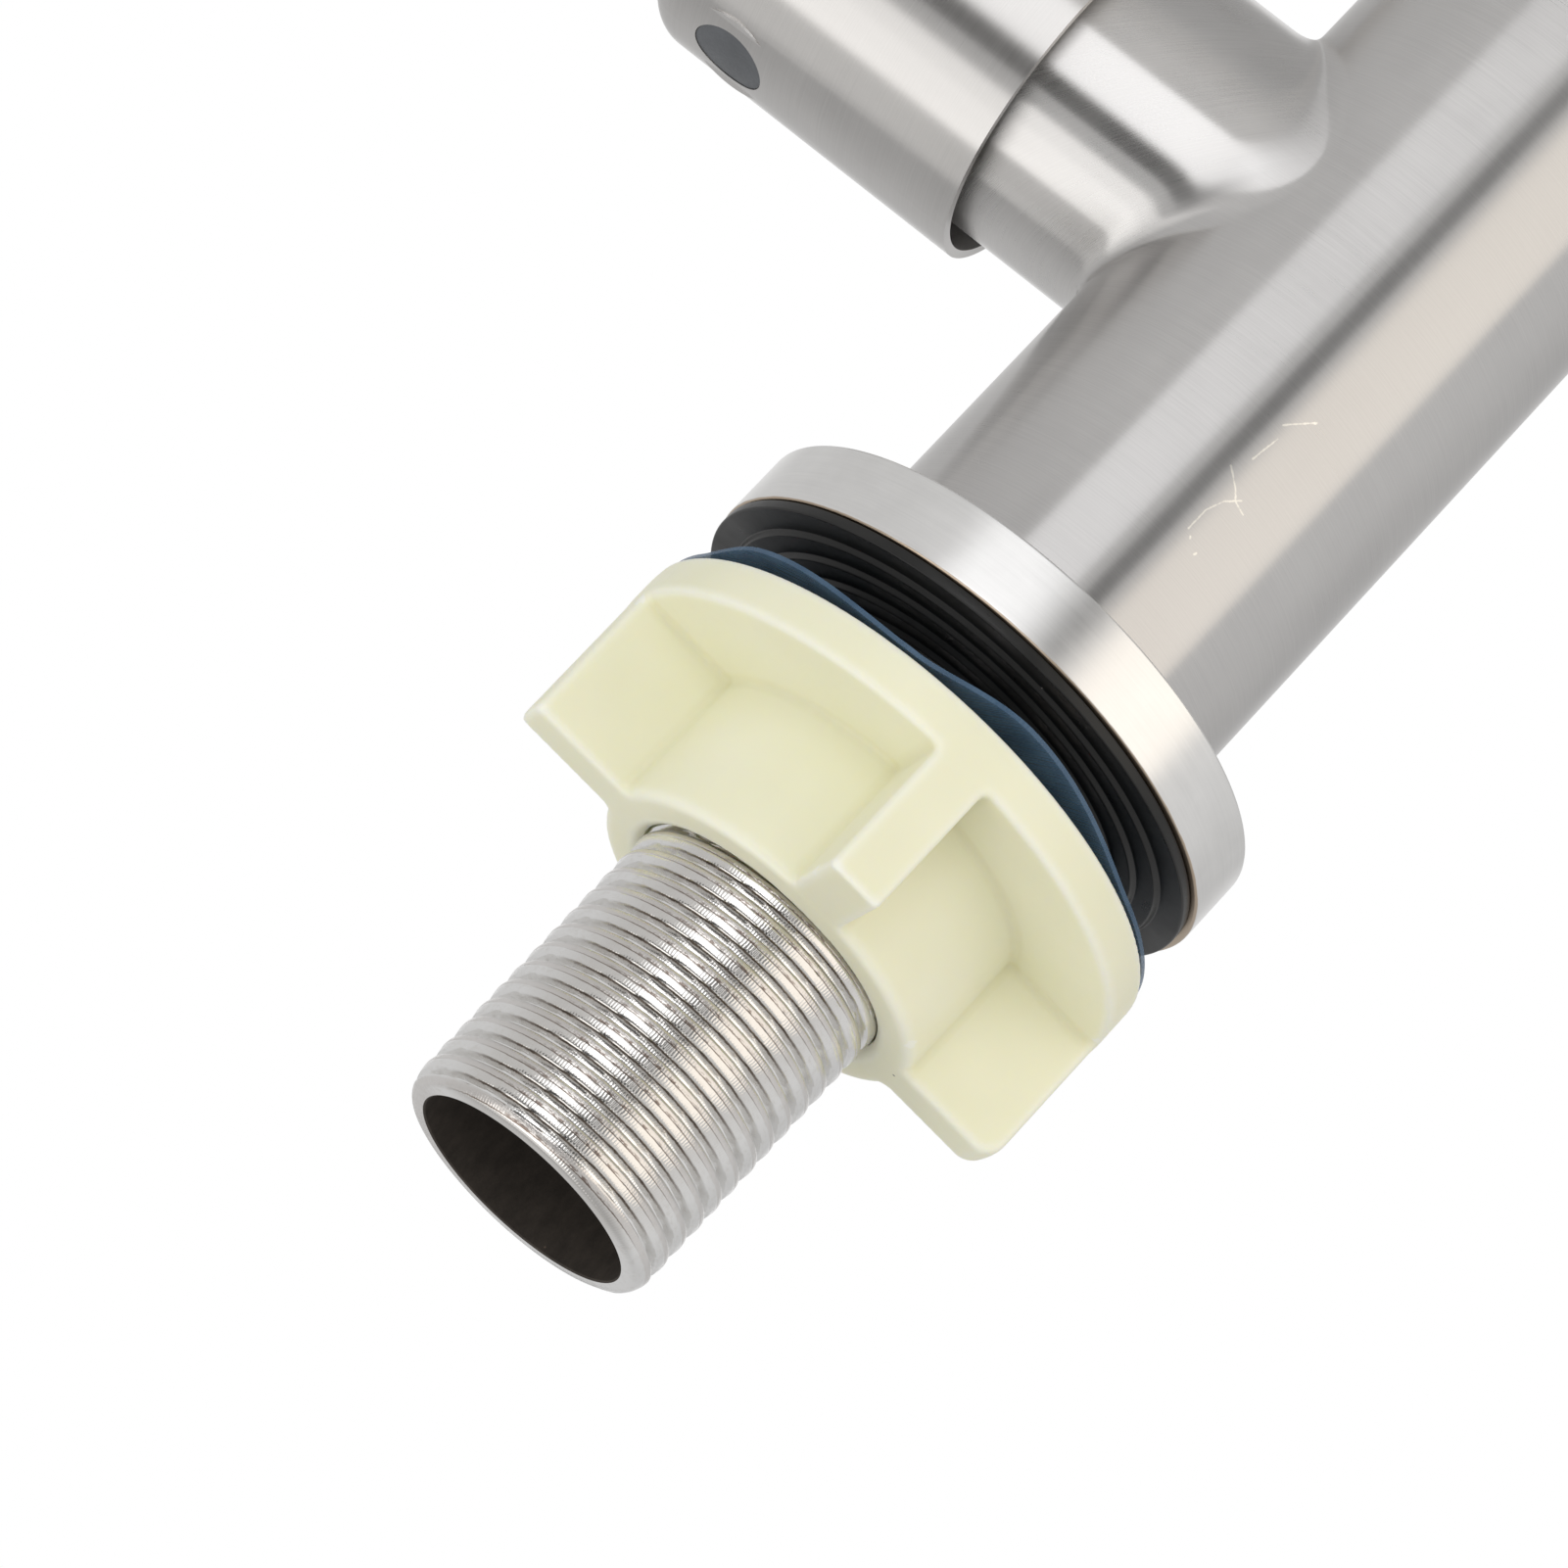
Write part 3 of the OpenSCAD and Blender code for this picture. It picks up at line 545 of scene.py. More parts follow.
# Hair scratches on the body as (azimuth in degrees, height in mm) points
SCRATCHES = [
    [(111.4, 19.2), (111.5, 21.1), (113.5, 22.5), (116.9, 23.5)],
    [(108.2, 24.7), (113.7, 23.7), (115.9, 23.1), (119.9, 22.9)],
    [(111.0, 29.6), (117.5, 31.6)], [(111.3, 26.2), (112.6, 28.6)],
    [(117.4, 18.2), (117.7, 18.4)], [(113.3, 18.9), (113.6, 18.8)],
]
# Distances from a scratch's middle, with its breaks added, at which it starts to show and is full
SCRATCH_EDGE, SCRATCH_CORE = 0.21, 0.13
SCRATCH_BREAKS = 0.24
FAR_FROM_SCRATCH = 10.0


def scratch_mask(tree):
    """1 on the scratches, measured on the body's unrolled surface."""
    turn, height = azimuth(tree)
    across = math_node(tree, "MULTIPLY", turn, BODY_R)
    up = math_node(tree, "MULTIPLY", height, 1 / MM)
    spot = add_node(tree, "ShaderNodeCombineXYZ", {0: across, 1: up}).outputs[0]
    nearest = FAR_FROM_SCRATCH
    for line in SCRATCHES:
        flat = [Vector((math.radians(degrees) * BODY_R, z, 0)) for degrees, z in line]
        for a, b in zip(flat, flat[1:]):
            away = vector_node(tree, "SUBTRACT", {0: spot, 1: a})
            run = vector_node(tree, "DOT_PRODUCT", {0: away, 1: (b - a) / (b - a).length_squared})
            part = remap(tree, run, 0, 1, 0, 1)
            foot = vector_node(tree, "SCALE", {0: b - a, "Scale": part})
            gap = vector_node(tree, "DISTANCE", {0: away, 1: foot})
            nearest = math_node(tree, "MINIMUM", nearest, gap)
    broken = grain(tree, 0.4, detail=3.0, roughness=0.7)
    gap = math_node(tree, "MULTIPLY_ADD", broken, SCRATCH_BREAKS, nearest)
    return remap(tree, gap, SCRATCH_EDGE, SCRATCH_CORE, 0, 0.9)


def body_steel():
    """Steel brushed round the body, and round the branch with slanting polish marks near the weld."""
    made, tree, shader = new_material("body_steel", Metallic=1.0, Anisotropic=1.0, Anisotropic_Rotation=0.25)
    branch = branch_mask(tree)
    fine = grain(tree, (6, 6, 0.09), detail=3.0, roughness=0.6)
    polish = grain(tree, (0.11, 6, 6), detail=3.0, roughness=0.6, turn=(0, 0.7, 0))
    strokes = add_node(tree, "ShaderNodeMix", {0: branch, 2: fine, 3: polish}).outputs[0]
    clouds = grain(tree, (6, 6, 9), detail=2.0)
    both = math_node(tree, "MULTIPLY_ADD", clouds, 0.5, math_node(tree, "MULTIPLY", strokes, 0.5))
    tangents = add_node(tree, "ShaderNodeMix", data_type="VECTOR")
    for socket, value in zip(tangents.inputs[4:6], (turned_tangent(tree, "Z"), turned_tangent(tree, "X"))):
        tree.links.new(value, socket)
    tree.links.new(branch, tangents.inputs[0])
    on_body = remap(tree, both, 0.3, 0.7, 0.27, 0.35)
    on_branch = remap(tree, both, 0.3, 0.7, 0.25, 0.31)
    steel = shades(tree, both, (0.60, 0.586, 0.575), (0.69, 0.675, 0.66), 0.35, 0.65)
    feed(tree, shader,
         Base_Color=mixed(tree, scratch_mask(tree), steel, (0.98, 0.95, 0.88)),
         Roughness=add_node(tree, "ShaderNodeMix", {0: branch, 2: on_body, 3: on_branch}).outputs[0],
         Tangent=tangents.outputs[1])
    bump(tree, shader, strokes, 0.0009)
    return made


def ring_steel():
    return brushed("ring_steel", (0.82, 0.81, 0.795), rough=(0.29, 0.35), stroke=0.22, anisotropic=0.7,
                   cloud=2.5, tone=0.04)


def foot_steel():
    """The base ring's steel: turning marks, and a brown line along its lower edge."""
    made = ring_steel()
    made.name = "foot_steel"
    tree = made.node_tree
    shader = tree.nodes["Principled BSDF"]
    height = azimuth(tree)[1]
    # A brown line just above the ring's lower edge
    wavy = math_node(tree, "MULTIPLY_ADD", grain(tree, 1.5), 0.1 * MM, height)
    brown_edge_line = remap(tree, wavy, (RING_LOW + 0.20) * MM, (RING_LOW + 0.14) * MM, 0, 0.75)
    steel = shader.inputs["Base Color"].links[0].from_socket
    feed(tree, shader, Base_Color=mixed(tree, brown_edge_line, steel, (0.42, 0.29, 0.16)))
    return made


def handle_steel():
    return brushed("handle_steel", STEEL, axis="X", rough=(0.27, 0.34), anisotropic=0.95, stroke=0.1,
                   relief=0.001)


def spout_steel():
    return brushed("spout_steel", STEEL, rough=(0.2, 0.3), stroke=0.3, anisotropic=0.3)


# Tool marks in one turn of the thread, and how far its lines wander, as a share of the pitch
CHATTER_COUNT = 277
JAGS = 0.06
CREST, TORN = (0.86, 0.852, 0.84), (0.76, 0.735, 0.715)
# Azimuths in degrees of the side facing the camera, where painted shade darkens the thread and its dark
# lines show
SHADED_SIDE_FROM, SHADED_SIDE_TO = 42, 158
# Painted shade on that side: darker crest and torn tones; the dark line colour is partly a real seam and
# partly painted shade in the grooves, the pit colour partly real pits and partly painted shade
SHADED_CREST, SHADED_TORN = (0.70, 0.68, 0.655), (0.66, 0.63, 0.605)
SEAM_AND_SHADE_LINE, PIT_AND_SHADE = (0.20, 0.16, 0.13), (0.16, 0.11, 0.085)
# Middles of the torn band and of its row of pits, as shares of the pitch
TORN_MIDDLE, PITS_MIDDLE = 0.63, 0.56


def thread_steel():
    """Rolled thread: torn on its upper side, with chatter across the helix; on the side facing the camera,
    painted shade darkens it, with dark lines that are partly a seam and partly painted groove shade, and
    dark pits that are partly painted shade.
    """
    made, tree, shader = new_material("thread_steel", Metallic=1.0)
    turn, height = azimuth(tree)
    turns = math_node(tree, "MULTIPLY_ADD", height, 1 / (THREAD_PITCH * MM),
                      math_node(tree, "MULTIPLY_ADD", turn, -0.5 / math.pi, THREAD_PHASE))
    torn = grain(tree, 0.3, detail=4.0, roughness=0.75)
    jagged = math_node(tree, "MULTIPLY_ADD", torn, JAGS, math_node(tree, "ADD", turns, -JAGS / 2))
    share = math_node(tree, "FRACT", jagged)
    # Painted shade: the darker tones and dark lines used on the side facing the camera
    shaded_lines = tone_ramp(tree, share, [
        (0.0, CREST), (0.11, CREST), (0.125, SEAM_AND_SHADE_LINE), (0.145, SEAM_AND_SHADE_LINE), (0.165, SHADED_CREST),
        (0.485, SHADED_CREST), (0.495, SEAM_AND_SHADE_LINE), (0.515, SEAM_AND_SHADE_LINE), (0.535, SHADED_TORN),
        (0.76, SHADED_TORN), (0.80, SHADED_CREST), (0.90, SHADED_CREST), (0.95, CREST), (1.0, CREST)])
    plain = tone_ramp(tree, share, [(0.0, CREST), (0.48, CREST), (0.54, TORN), (0.72, TORN), (0.80, CREST)])
    # The painted shade fades in towards the middle of the side facing the camera
    shaded_side_middle = math.radians(SHADED_SIDE_FROM + SHADED_SIDE_TO) / 2
    away = math_node(tree, "ABSOLUTE", math_node(tree, "SUBTRACT", turn, shaded_side_middle))
    half = math.radians(SHADED_SIDE_TO - SHADED_SIDE_FROM) / 2
    zones = mixed(tree, remap(tree, away, half, half - 0.35, 0, 1), plain, shaded_lines)
    spots = grain(tree, (0.6, 0.6, 0.3), detail=3.0, roughness=0.6)
    from_torn = math_node(tree, "ABSOLUTE", math_node(tree, "SUBTRACT", share, TORN_MIDDLE))
    on_torn = remap(tree, from_torn, 0.09, 0.13, 1, 0)
    smooth = math_node(tree, "MULTIPLY_ADD", on_torn, 0.08, remap(tree, spots, 0.3, 0.7, 0.09, 0.16))
    pits = grain(tree, (0.7, 0.7, 0.22), detail=4.0, roughness=0.7)
    # Dark pits near the seam, only on the side facing the camera: partly real pits, partly painted shade
    from_seam = math_node(tree, "ABSOLUTE", math_node(tree, "SUBTRACT", share, PITS_MIDDLE))
    pits_and_shade = math_node(tree, "MULTIPLY", remap(tree, from_seam, 0.03, 0.07, 1, 0),
                       remap(tree, away, half * 0.65, half * 0.3, 0, 1))
    pits_and_shade = math_node(tree, "MULTIPLY", pits_and_shade, remap(tree, pits, 0.47, 0.56, 0, 0.85))
    stained = remap(tree, spots, 0.5, 0.75, 0, 0.3)
    shade = mixed(tree, stained, zones, (0.62, 0.58, 0.53))
    feed(tree, shader, Base_Color=mixed(tree, pits_and_shade, shade, PIT_AND_SHADE), Roughness=smooth)
    ticks = math_node(tree, "SINE", math_node(tree, "MULTIPLY_ADD", turn, CHATTER_COUNT,
                                              math_node(tree, "MULTIPLY", spots, 5.0)))
    bumped = bump(tree, shader, ticks, 0.0032)
    bump(tree, shader, math_node(tree, "MULTIPLY", pits, on_torn), 0.03, below=bumped)
    return made


def bore_oxide():
    """The shank's inside: black-brown oxide with faint rusty specks."""
    made, tree, shader = new_material("bore_oxide", Roughness=0.75)
    stain = grain(tree, (1.2, 1.2, 2.0), detail=4.0, roughness=0.7)
    dust = specks(tree, 1.1, 0.16)
    base = shades(tree, stain, (0.042, 0.035, 0.029), (0.068, 0.056, 0.046), 0.35, 0.75)
    feed(tree, shader, Base_Color=mixed(tree, dust, base, (0.16, 0.12, 0.09)))
    shader.inputs["Specular IOR Level"].default_value = 0.2
    bump(tree, shader, stain, 0.03)
    return made


def ivory_plastic():
    """Moulded ivory nylon: slightly translucent, with a few black specks; painted shade darkens and yellows
    its hollows and a painted glow pales its edges.
    """
    made, tree, shader = new_material("ivory_plastic", IOR=1.5, Subsurface_Weight=0.35,
                                      Subsurface_Scale=1.6 * MM, Subsurface_Radius=(1.0, 0.85, 0.45))
    tone = grain(tree, 9)
    peel = grain(tree, 0.7)
    black = specks(tree, 3.2, 0.10, spread=0.5)
    shade_and_glow_curvature = add_node(tree, "ShaderNodeNewGeometry").outputs["Pointiness"]
    base = shades(tree, tone, (0.85, 0.835, 0.62), (0.88, 0.865, 0.665))
    # Painted shade in hollows, where pointiness is low, and a painted glow on sharp edges, where it is high
    base = shades(tree, shade_and_glow_curvature, base, (0.78, 0.75, 0.47), 0.495, 0.44)
    base = shades(tree, shade_and_glow_curvature, base, (0.915, 0.91, 0.80), 0.503, 0.56)
    feed(tree, shader,
         Base_Color=mixed(tree, black, base, (0.06, 0.05, 0.04)),
         Roughness=remap(tree, peel, 0.3, 0.7, 0.34, 0.46))
    bump(tree, shader, peel, 0.008)
    return made


def black_rubber():
    """Moulded black rubber with dust and a dull sheen."""
    made, tree, shader = new_material("black_rubber", IOR=1.5, Specular_IOR_Level=0.3)
    fine = grain(tree, 0.25)
    smear = grain(tree, (4, 4, 1.5), detail=3.0, roughness=0.6)
    dust = specks(tree, 1.3, 0.13, spread=0.6)
    base = shades(tree, smear, (0.0125, 0.0122, 0.0115), (0.0195, 0.019, 0.018), 0.45, 0.8)
    feed(tree, shader,
         Base_Color=mixed(tree, dust, base, (0.22, 0.21, 0.2)),
         Roughness=remap(tree, smear, 0.3, 0.7, 0.26, 0.40))
    bump(tree, shader, fine, 0.003)
    return made


def clear_plastic():
    """Thin bluish polythene, half clear, with hair scratches."""
    made, tree, shader = new_material("clear_plastic", Alpha=0.72, IOR=1.45)
    haze = grain(tree, 3, detail=3.0)
    hairs = grain(tree, (6, 0.12, 3), detail=1.0, turn=(0, 0, 0.6))
    base = shades(tree, haze, (0.052, 0.106, 0.18), (0.086, 0.158, 0.252))
    feed(tree, shader, Base_Color=base, Roughness=remap(tree, hairs, 0.35, 0.75, 0.22, 0.4))
    bump(tree, shader, hairs, 0.006)
    return made


def smooth_material(name, dark, light, rough, fine_size, relief, tone_size=None, **sockets):
    """A plastic or ceramic with a fine relief; its tone varies over tone_size, or with the relief."""
    made, tree, shader = new_material(name, **sockets)
    fine = grain(tree, fine_size, detail=3.0)
    tone = grain(tree, tone_size) if tone_size else fine
    feed(tree, shader,
         Base_Color=shades(tree, tone, dark, light),
         Roughness=remap(tree, fine, 0.3, 0.7, *rough))
    bump(tree, shader, fine, relief)
    return made


def grey_plastic():
    return smooth_material("grey_plastic", (0.094, 0.1, 0.108), (0.115, 0.122, 0.132), (0.42, 0.56), 0.25,
                           0.012, tone_size=2, IOR=1.5, Specular_IOR_Level=0.36)


def white_plastic():
    return smooth_material("white_plastic", (0.72, 0.73, 0.74), (0.80, 0.81, 0.82), (0.35, 0.5), 0.5, 0.008,
                           tone_size=5, IOR=1.48)


def disc_ceramic():
    return smooth_material("disc_ceramic", (0.80, 0.79, 0.76), (0.88, 0.87, 0.85), (0.12, 0.22), 0.3, 0.003,
                           IOR=1.7)


def brass(axis):
    """Turned brass, with tool marks round its axis."""
    return brushed("brass_" + axis.lower(), (0.78, 0.58, 0.30), axis=axis, rough=(0.2, 0.34), stroke=0.25,
                   anisotropic=0.4, relief=0.002, tone=0.08)


def dark_steel():
    return brushed("dark_steel", (0.16, 0.155, 0.15), rough=(0.3, 0.45), stroke=0.2, anisotropic=0.2)


def wire_steel():
    return brushed("wire_steel", (0.62, 0.61, 0.59), rough=(0.25, 0.4), stroke=0.2, anisotropic=0.1)


# Pieces

def dressed(made, body, node, slot, *materials):
    """Puts a new piece on its body in place of a CAD node, with its materials."""
    for material in materials:
        made.data.materials.append(material)
    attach(made, body)
    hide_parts(node)


THREAD_DEPTH = 0.8
# Share of a turn by which the helix is turned, and rows of points in one pitch
THREAD_PHASE = 0.295
THREAD_ROWS = 22
# Profile of one pitch, from root to root: share of the pitch against share of the depth cut away
THREAD_SHAPE = [(0.0, 1.0), (0.05, 0.96), (0.115, 0.50), (0.14, 0.25), (0.175, 0.15), (0.30, 0.075),
                (0.40, 0.03), (0.47, 0.005), (0.505, 0.05), (0.54, 0.0), (0.64, 0.01), (0.74, 0.04),
                (0.79, 0.09), (0.825, 0.19), (0.85, 0.36), (0.91, 0.92), (0.935, 1.0), (1.0, 1.0)]
# The rounded nose at the shank's foot
NOSE_LENGTH = 1.7
NOSE_DEPTH = 0.95
# Height from which the thread runs out below the deck, and the length over which it does
RUNOUT_LOW, RUNOUT_LENGTH = -1.5, 1.2
# Wear of the crest: its depth, and its middle and half width as shares of the pitch
WEAR_DEPTH, WEAR_MIDDLE, WEAR_HALF = 0.012, 0.66, 0.13
SHANK_STEPS = 240
SHANK_RIM = 0.12


def thread_radius(angle, z):
    """Radius of the threaded surface: a right-hand helix with a rounded lead-in."""
    turns = z / THREAD_PITCH - angle / (2 * math.pi) + THREAD_PHASE
    share = turns - np.floor(turns)
    at, cut_away = zip(*THREAD_SHAPE)
    radius = THREAD_R - THREAD_DEPTH * np.interp(share, at, cut_away)
    worn = WEAR_DEPTH * np.sin(23 * angle + 5 * np.sin(7 * angle)) * np.sin(2.1 * turns)
    radius = radius + worn * np.clip(1 - ((share - WEAR_MIDDLE) / WEAR_HALF) ** 2, 0, 1)
    # The nose only cuts the thread back; above it, lead_in is out of the way
    nose = np.clip((z - SHANK_LOW) / NOSE_LENGTH, 0, 1)
    lead_in = THREAD_R - NOSE_DEPTH * (1 - np.sqrt(1 - (1 - nose) ** 2)) + 1.5 * (nose >= 1)
    runout = np.clip((z - RUNOUT_LOW) / RUNOUT_LENGTH, 0, 1)
    radius = radius + (THREAD_R - radius) * runout
    return np.minimum(radius, lead_in)


def make_shank():
    """The inlet tube: a helical thread outside, an oxidised bore inside, a collar at the top."""
    steps, rim = SHANK_STEPS, SHANK_RIM
    angles = np.linspace(0, 2 * math.pi, steps, endpoint=False)
    rows = np.arange(SHANK_LOW, 0, THREAD_PITCH / THREAD_ROWS)
    rows = np.append(rows, [0.0, GASKET_TOP])
    angle_grid, z_grid = np.meshgrid(angles, rows)
    radius = thread_radius(angle_grid, z_grid)
    inner = [(SHANK_COLLAR_R, GASKET_TOP), (SHANK_COLLAR_R, SHANK_TOP - rim),
             (SHANK_COLLAR_R - rim, SHANK_TOP), (SHANK_BORE_R, SHANK_TOP),
             (SHANK_BORE_R, SHANK_TOP - 1.0), (SHANK_BORE_R, SHANK_LOW + 1.0),
             (SHANK_BORE_R, SHANK_LOW + rim), (SHANK_BORE_R + rim, SHANK_LOW)]
    radius = np.vstack([radius, [[r] * steps for r, _ in inner]])
    z_grid = np.vstack([z_grid, [[z] * steps for _, z in inner]])
    angle_grid = np.vstack([angle_grid, [angles] * len(inner)])
    points = np.stack([radius * np.cos(angle_grid), radius * np.sin(angle_grid), z_grid], -1).reshape(-1, 3)
    # The faces between the rows of the bore get the second material
    count = len(z_grid)
    faces, bore = [], []
    for j in range(count):
        k = (j + 1) % count
        in_bore = len(rows) + 3 <= j < count - 1
        for i in range(steps):
            n = (i + 1) % steps
            faces.append((j * steps + i, j * steps + n, k * steps + n, k * steps + i))
            bore.append(in_bore)
    made = mesh_object("shank_thread", points, faces, 40)
    dressed(made, "faucet_body", "shank", "shank_steel", thread_steel(), bore_oxide())
    made.data.polygons.foreach_set("material_index", np.array(bore, np.int32))


RING_EDGE = 0.22
# Gaps between the ring and the body: in the bore, and at the step that shows
RING_BORE_GAP, RING_STEP_GAP = 0.05, 0.03


def make_base_ring(steel):
    """The turned ring, with a shallow step in its top that the body's wall stands in."""
    bore = BODY_R - RING_STEP + RING_BORE_GAP
    step_r = BODY_R + RING_STEP_GAP
    outline = rounded([
        (bore, RING_LOW, 0.05), (RING_R, RING_LOW, RING_EDGE), (RING_R, RING_TOP, RING_EDGE),
        (step_r, RING_TOP, 0.02), (step_r, RING_TOP - 0.05, 0), (bore, RING_TOP - 0.05, 0)])
    dressed(lathe("base_ring_turned", outline, 256), "faucet_body", "base_ring", "ring_steel", steel)


GASKET_BORE_R = THREAD_R + 0.3
# The gasket hangs dished: its underside comes down in steps from a thin rim to the deck plane
GASKET_STEPS = 4
GASKET_STEP = 1.8
GASKET_RIM_WIDTH = 2.2
GASKET_RIM_T = 0.85
GASKET_TOP_GAP = 0.05
# It also hangs a little to one side
GASKET_SHIFT = (0.2, 0.08, 0.0)


def make_gasket():
    """The rubber gasket: a thin rim, and round ridges that step down to the flat round its bore."""
    rim_low = GASKET_TOP - GASKET_RIM_T
    top = GASKET_TOP - GASKET_TOP_GAP
    drop = (rim_low - GASKET_LOW) / GASKET_STEPS
    corners = [(GASKET_BORE_R, top, 0.1), (GASKET_BORE_R, GASKET_LOW, 0.25)]
    # From the bore outwards: each ridge's lower corner, and the groove that it stands in
    for i in reversed(range(GASKET_STEPS)):
        ridge_r = GASKET_R - GASKET_RIM_WIDTH - i * GASKET_STEP
        groove_z = rim_low - i * drop
        corners += [(ridge_r - 0.06, groove_z - drop, 0.17), (ridge_r + 0.16, groove_z + 0.06, 0.12)]
    corners += [(GASKET_R, rim_low - 0.03, 0.16), (GASKET_R, top, 0.1)]
    made = lathe("base_gasket_ribbed", rounded(corners, 6), 224, GASKET_SHIFT, sharp_angle=60)
    dressed(made, "faucet_body", "base_gasket", "black_rubber", black_rubber())


WASHER_T = 0.35
WASHER_BORE_R = THREAD_R + 0.3
WASHER_STEPS, WASHER_ACROSS = 240, 14
# What the highest wave rises above the CAD's washer, and the share of the rise between the waves
WASHER_EXTRA = 0.15
WASHER_REST = 0.06
# Powers that shape the rise from bore to edge and along the edge
WASHER_DISH, WASHER_CREST = 1.3, 1.6
# Angle of the top, width before and after it, and share of the rise of each wave in the washer's edge
WASHER_WAVES = [(47, 16, 38, 0.72), (114, 25, 37, 1.0), (236, 30, 45, 0.7), (318, 28, 34, 0.9)]


def make_washer():
    """The thin washer: dished like the CAD's, its free edge a little wavy."""
    steps, across = WASHER_STEPS, WASHER_ACROSS
    rise = WASHER_TOP - WASHER_LOW - WASHER_T + WASHER_EXTRA
    angles = np.linspace(0, 2 * math.pi, steps, endpoint=False)[:, None]
    share = np.linspace(0, 1, across)[None, :]
    wave = WASHER_REST
    for middle, before, after, part in WASHER_WAVES:
        away = (np.degrees(angles) - middle + 180) % 360 - 180
        away = np.where(away < 0, -away / before, away / after)
        wave = wave + (part - WASHER_REST) * np.cos(np.clip(away, 0, 1) * math.pi / 2) ** WASHER_CREST
    lift = rise * share ** WASHER_DISH * np.minimum(wave, 1)
    radius = WASHER_BORE_R + (WASHER_R - WASHER_BORE_R) * share + 0 * angles
    low = WASHER_LOW + lift
    skins = []
    for height in (low, low + WASHER_T):
        skins.append(np.stack([radius * np.cos(angles), radius * np.sin(angles), height], -1).reshape(-1, 3))
    points = np.concatenate(skins)
    top = steps * across
    faces = []
    for i in range(steps):
        a, b = i * across, ((i + 1) % steps) * across
        for j in range(across - 1):
            faces.append((a + j, b + j, b + j + 1, a + j + 1))
            faces.append((top + a + j, top + a + j + 1, top + b + j + 1, top + b + j))
        faces.append((a, top + a, top + b, b))
        faces.append((a + across - 1, b + across - 1, top + b + across - 1, top + a + across - 1))
    made = mesh_object("slip_washer_wavy", points, faces)
    dressed(made, "washer_carrier", "slip_washer", "clear_plastic", clear_plastic())


NUT_DISC_T = 3.6
NUT_HUB_R = 13.7
NUT_BORE_R = THREAD_R + 0.06
NUT_FILLET = 0.7
# The flare at each end of the bore
NUT_FLARE = 0.5
# Radii of the edges of the disc and of the hub
DISC_EDGE, HUB_EDGE = 0.6, 0.8
# Thickness of the wings, and how far from the axis they start, hidden in the hub
WING_T = 4.4
WING_FROM = 6
# Angle of each wing and the radius of its outer lower corner
WINGS = [(18.3, 0.6), (108.3, 0.5), (198.3, 1.9), (288.3, 1.2)]


def nut_field(p):
    """The nut: a disc on top, a hub through it, and wings that fillets join to both."""
    x, y, z = p[..., 0], p[..., 1], p[..., 2]
    r = np.hypot(x, y)
    disc = drum(r, z, NUT_R, NUT_TOP - NUT_DISC_T, NUT_TOP, DISC_EDGE)
    hub = drum(r, z, NUT_HUB_R, NUT_LOW, NUT_TOP - 0.5, HUB_EDGE)
    shape = merged(disc, hub, NUT_FILLET)
    for angle, corner in WINGS:
        a = math.radians(angle)
        along = x * math.cos(a) + y * math.sin(a)
        aside = -x * math.sin(a) + y * math.cos(a)
        end = drum(r, z, NUT_R, NUT_LOW, NUT_TOP - 1, corner)
        wing = common(np.maximum(np.abs(aside) - WING_T / 2, WING_FROM - along), end, NUT_FILLET)
        shape = merged(shape, wing, NUT_FILLET)
    shape = common(shape, drum(r, z, NUT_R, NUT_LOW, NUT_TOP, 0.3), 0.25)
    flare = np.maximum(NUT_LOW + NUT_FLARE - z, 0) + np.maximum(z - NUT_TOP + NUT_FLARE, 0)
    return cut(shape, r - NUT_BORE_R - flare, 0.35)


def make_wing_nut():
    low, high = (-NUT_R, -NUT_R, NUT_LOW), (NUT_R, NUT_R, NUT_TOP)
    made = surface_net("wing_nut_moulded", nut_field, low, high, 0.3)
    dressed(made, "nut", "wing_nut", "ivory_plastic", ivory_plastic())


# How much further the blend reaches along the branch than along the body
BLEND_LEAN = 1.6
# The blend's radius above and below the branch, what it gains at the branch's sides,
# and where along X it starts and how far on it is full
BLEND_R, BLEND_SIDE_GAIN = 1.8, 2.9
BLEND_FROM, BLEND_RUN = 1, 9


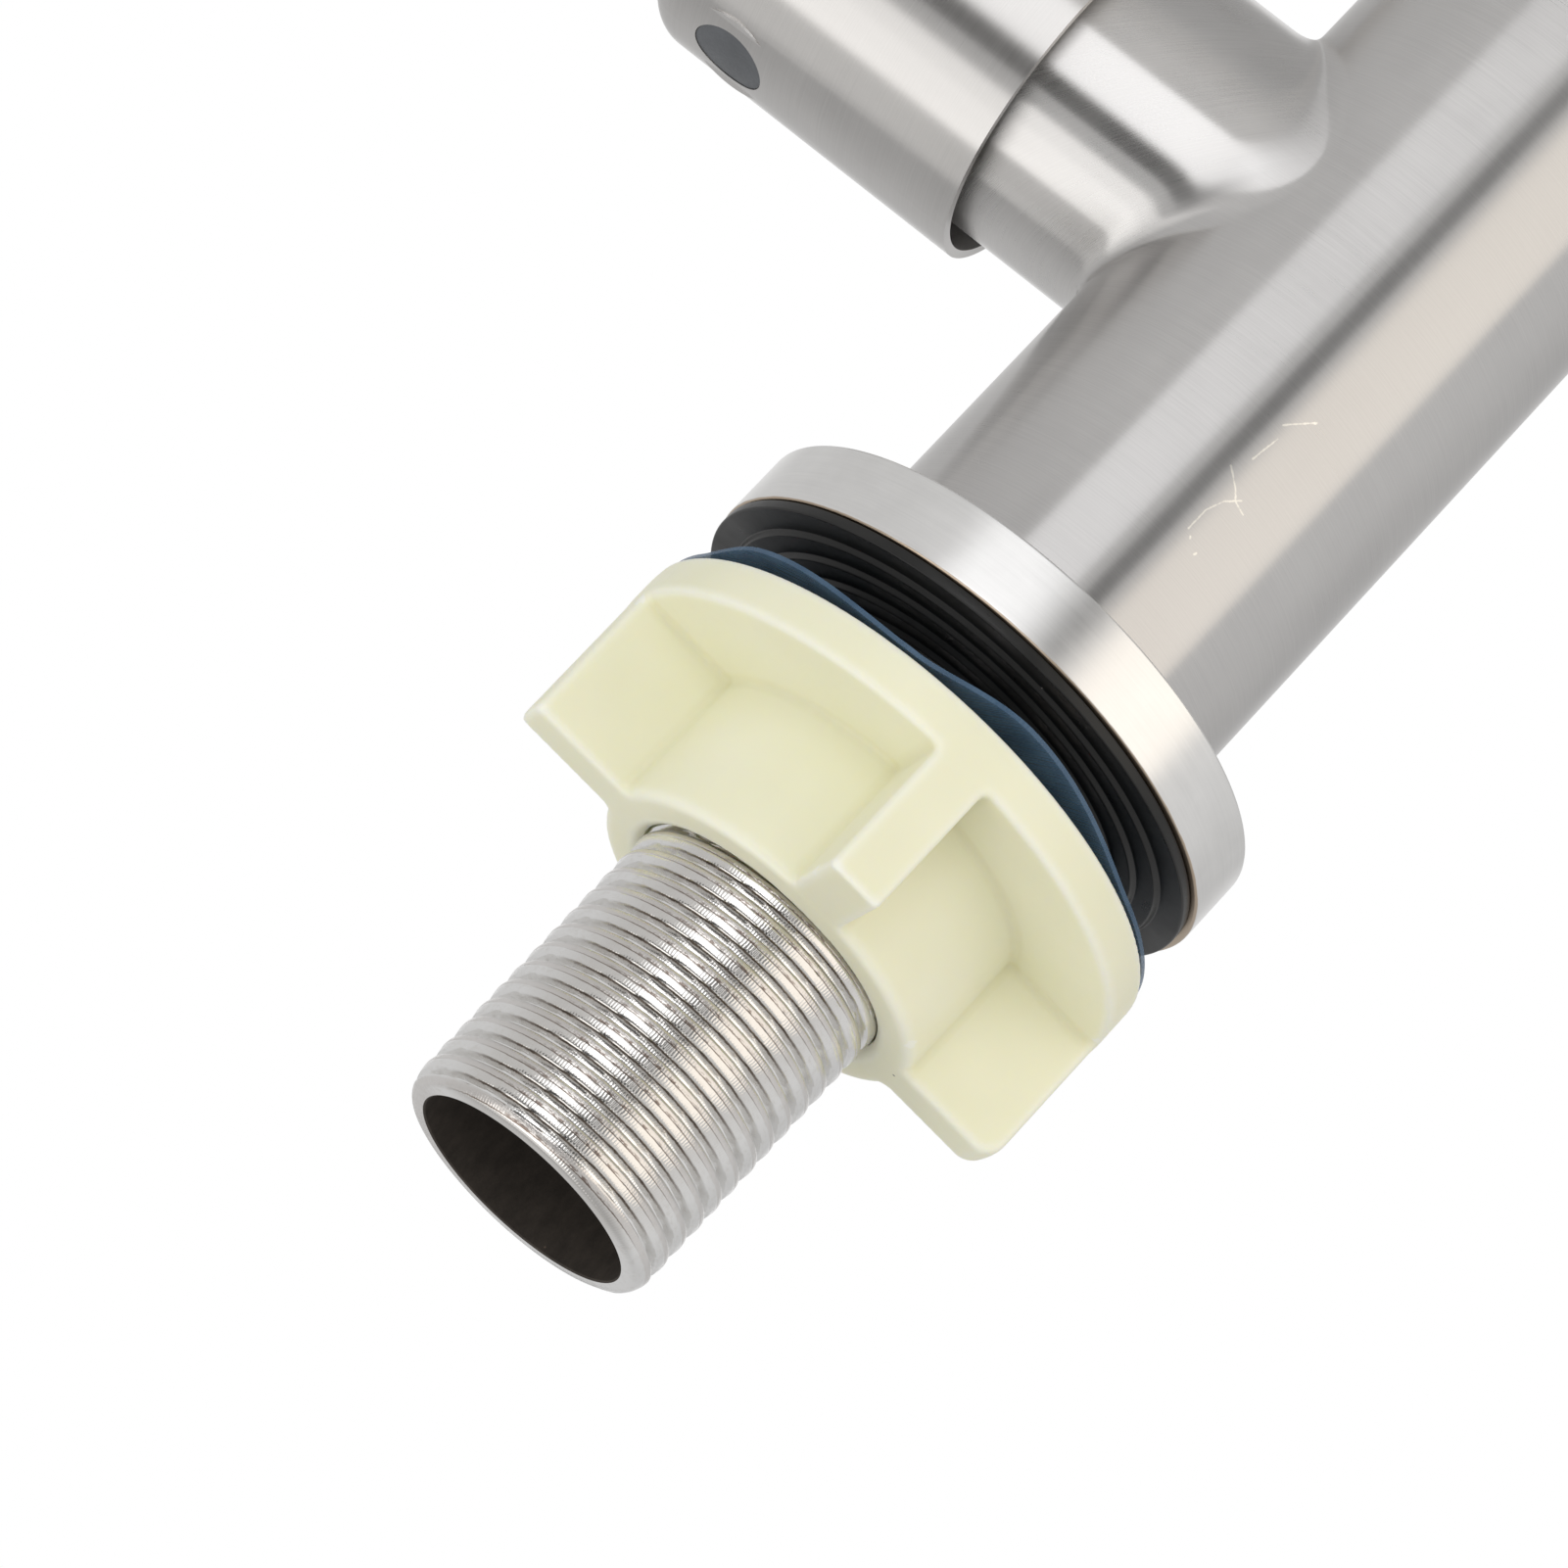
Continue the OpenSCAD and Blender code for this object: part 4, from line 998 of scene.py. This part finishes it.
def body_field(p):
    """The body: a tube with a thinner foot, and a bored branch blended into it."""
    x, y, z = p[..., 0], p[..., 1], p[..., 2] - BRANCH_Z
    r = np.hypot(x, y)
    s = np.hypot(y, z)
    run = drum(r, p[..., 2], BODY_R, RING_TOP - 0.03, BODY_TOP, 0.15)
    foot = drum(r, p[..., 2], BODY_R - RING_STEP, BODY_LOW, BODY_TOP - 1, 0.1)
    branch = np.maximum(drum(s, x, BRANCH_R, -BRANCH_END, BRANCH_END, 0.3), -x)
    side = (y / np.maximum(s, 1e-6)) ** 4
    ahead = np.clip((x - BLEND_FROM) / BLEND_RUN, 0, 1)
    soft = (BLEND_R + BLEND_SIDE_GAIN * side) * ahead * ahead * (3 - 2 * ahead)
    outside = merged(merged(run, branch * (BLEND_LEAN + side), soft), foot, 0.01)
    bores = np.minimum(r - BODY_BORE_R, np.maximum(s - BRANCH_BORE_R, -x))
    return cut(outside, bores, 0.3)


def make_body(steel):
    low, high = (-BODY_R, -BODY_R, BODY_LOW), (BRANCH_END, BODY_R, BODY_TOP)
    made = surface_net("body_shell_blended", body_field, low, high, 0.4)
    dressed(made, "faucet_body", "body_shell", "body_steel", steel)


def paint(material, *names):
    """Gives a material to CAD nodes that keep their own shape."""
    for name in names:
        nodes[name].data.materials.clear()
        nodes[name].data.materials.append(material)


def dress_cad_nodes(ring, handle):
    paint(handle, "handle_cap")
    paint(spout_steel(), "spout_tube", "handle_lever")
    paint(ring, "swivel_collar", "aerator_housing")
    paint(brass("Z"), "waterway_core", "spout_seat", "spout_spigot")
    paint(brass("X"), "cartridge_body", "cartridge_stem")
    paint(bpy.data.materials["black_rubber"], "core_seal", "seat_seal", "cartridge_gasket",
          "stem_seals", "spigot_seals", "aerator_washer")
    paint(disc_ceramic(), "fixed_disc", "moving_disc")
    paint(white_plastic(), "lower_slip_ring", "upper_slip_ring", "aerator_insert")
    paint(grey_plastic(), "screw_plug")
    paint(dark_steel(), "clamp_screw")
    paint(wire_steel(), "aerator_mesh", "stem_clip")


def main():
    scene = bpy.context.scene
    scene.view_settings.view_transform = "Standard"
    add_camera()
    add_studio()
    ring, handle = ring_steel(), handle_steel()
    make_shank()
    make_base_ring(foot_steel())
    make_gasket()
    make_washer()
    make_wing_nut()
    make_body(body_steel())
    dress_cad_nodes(ring, handle)


main()
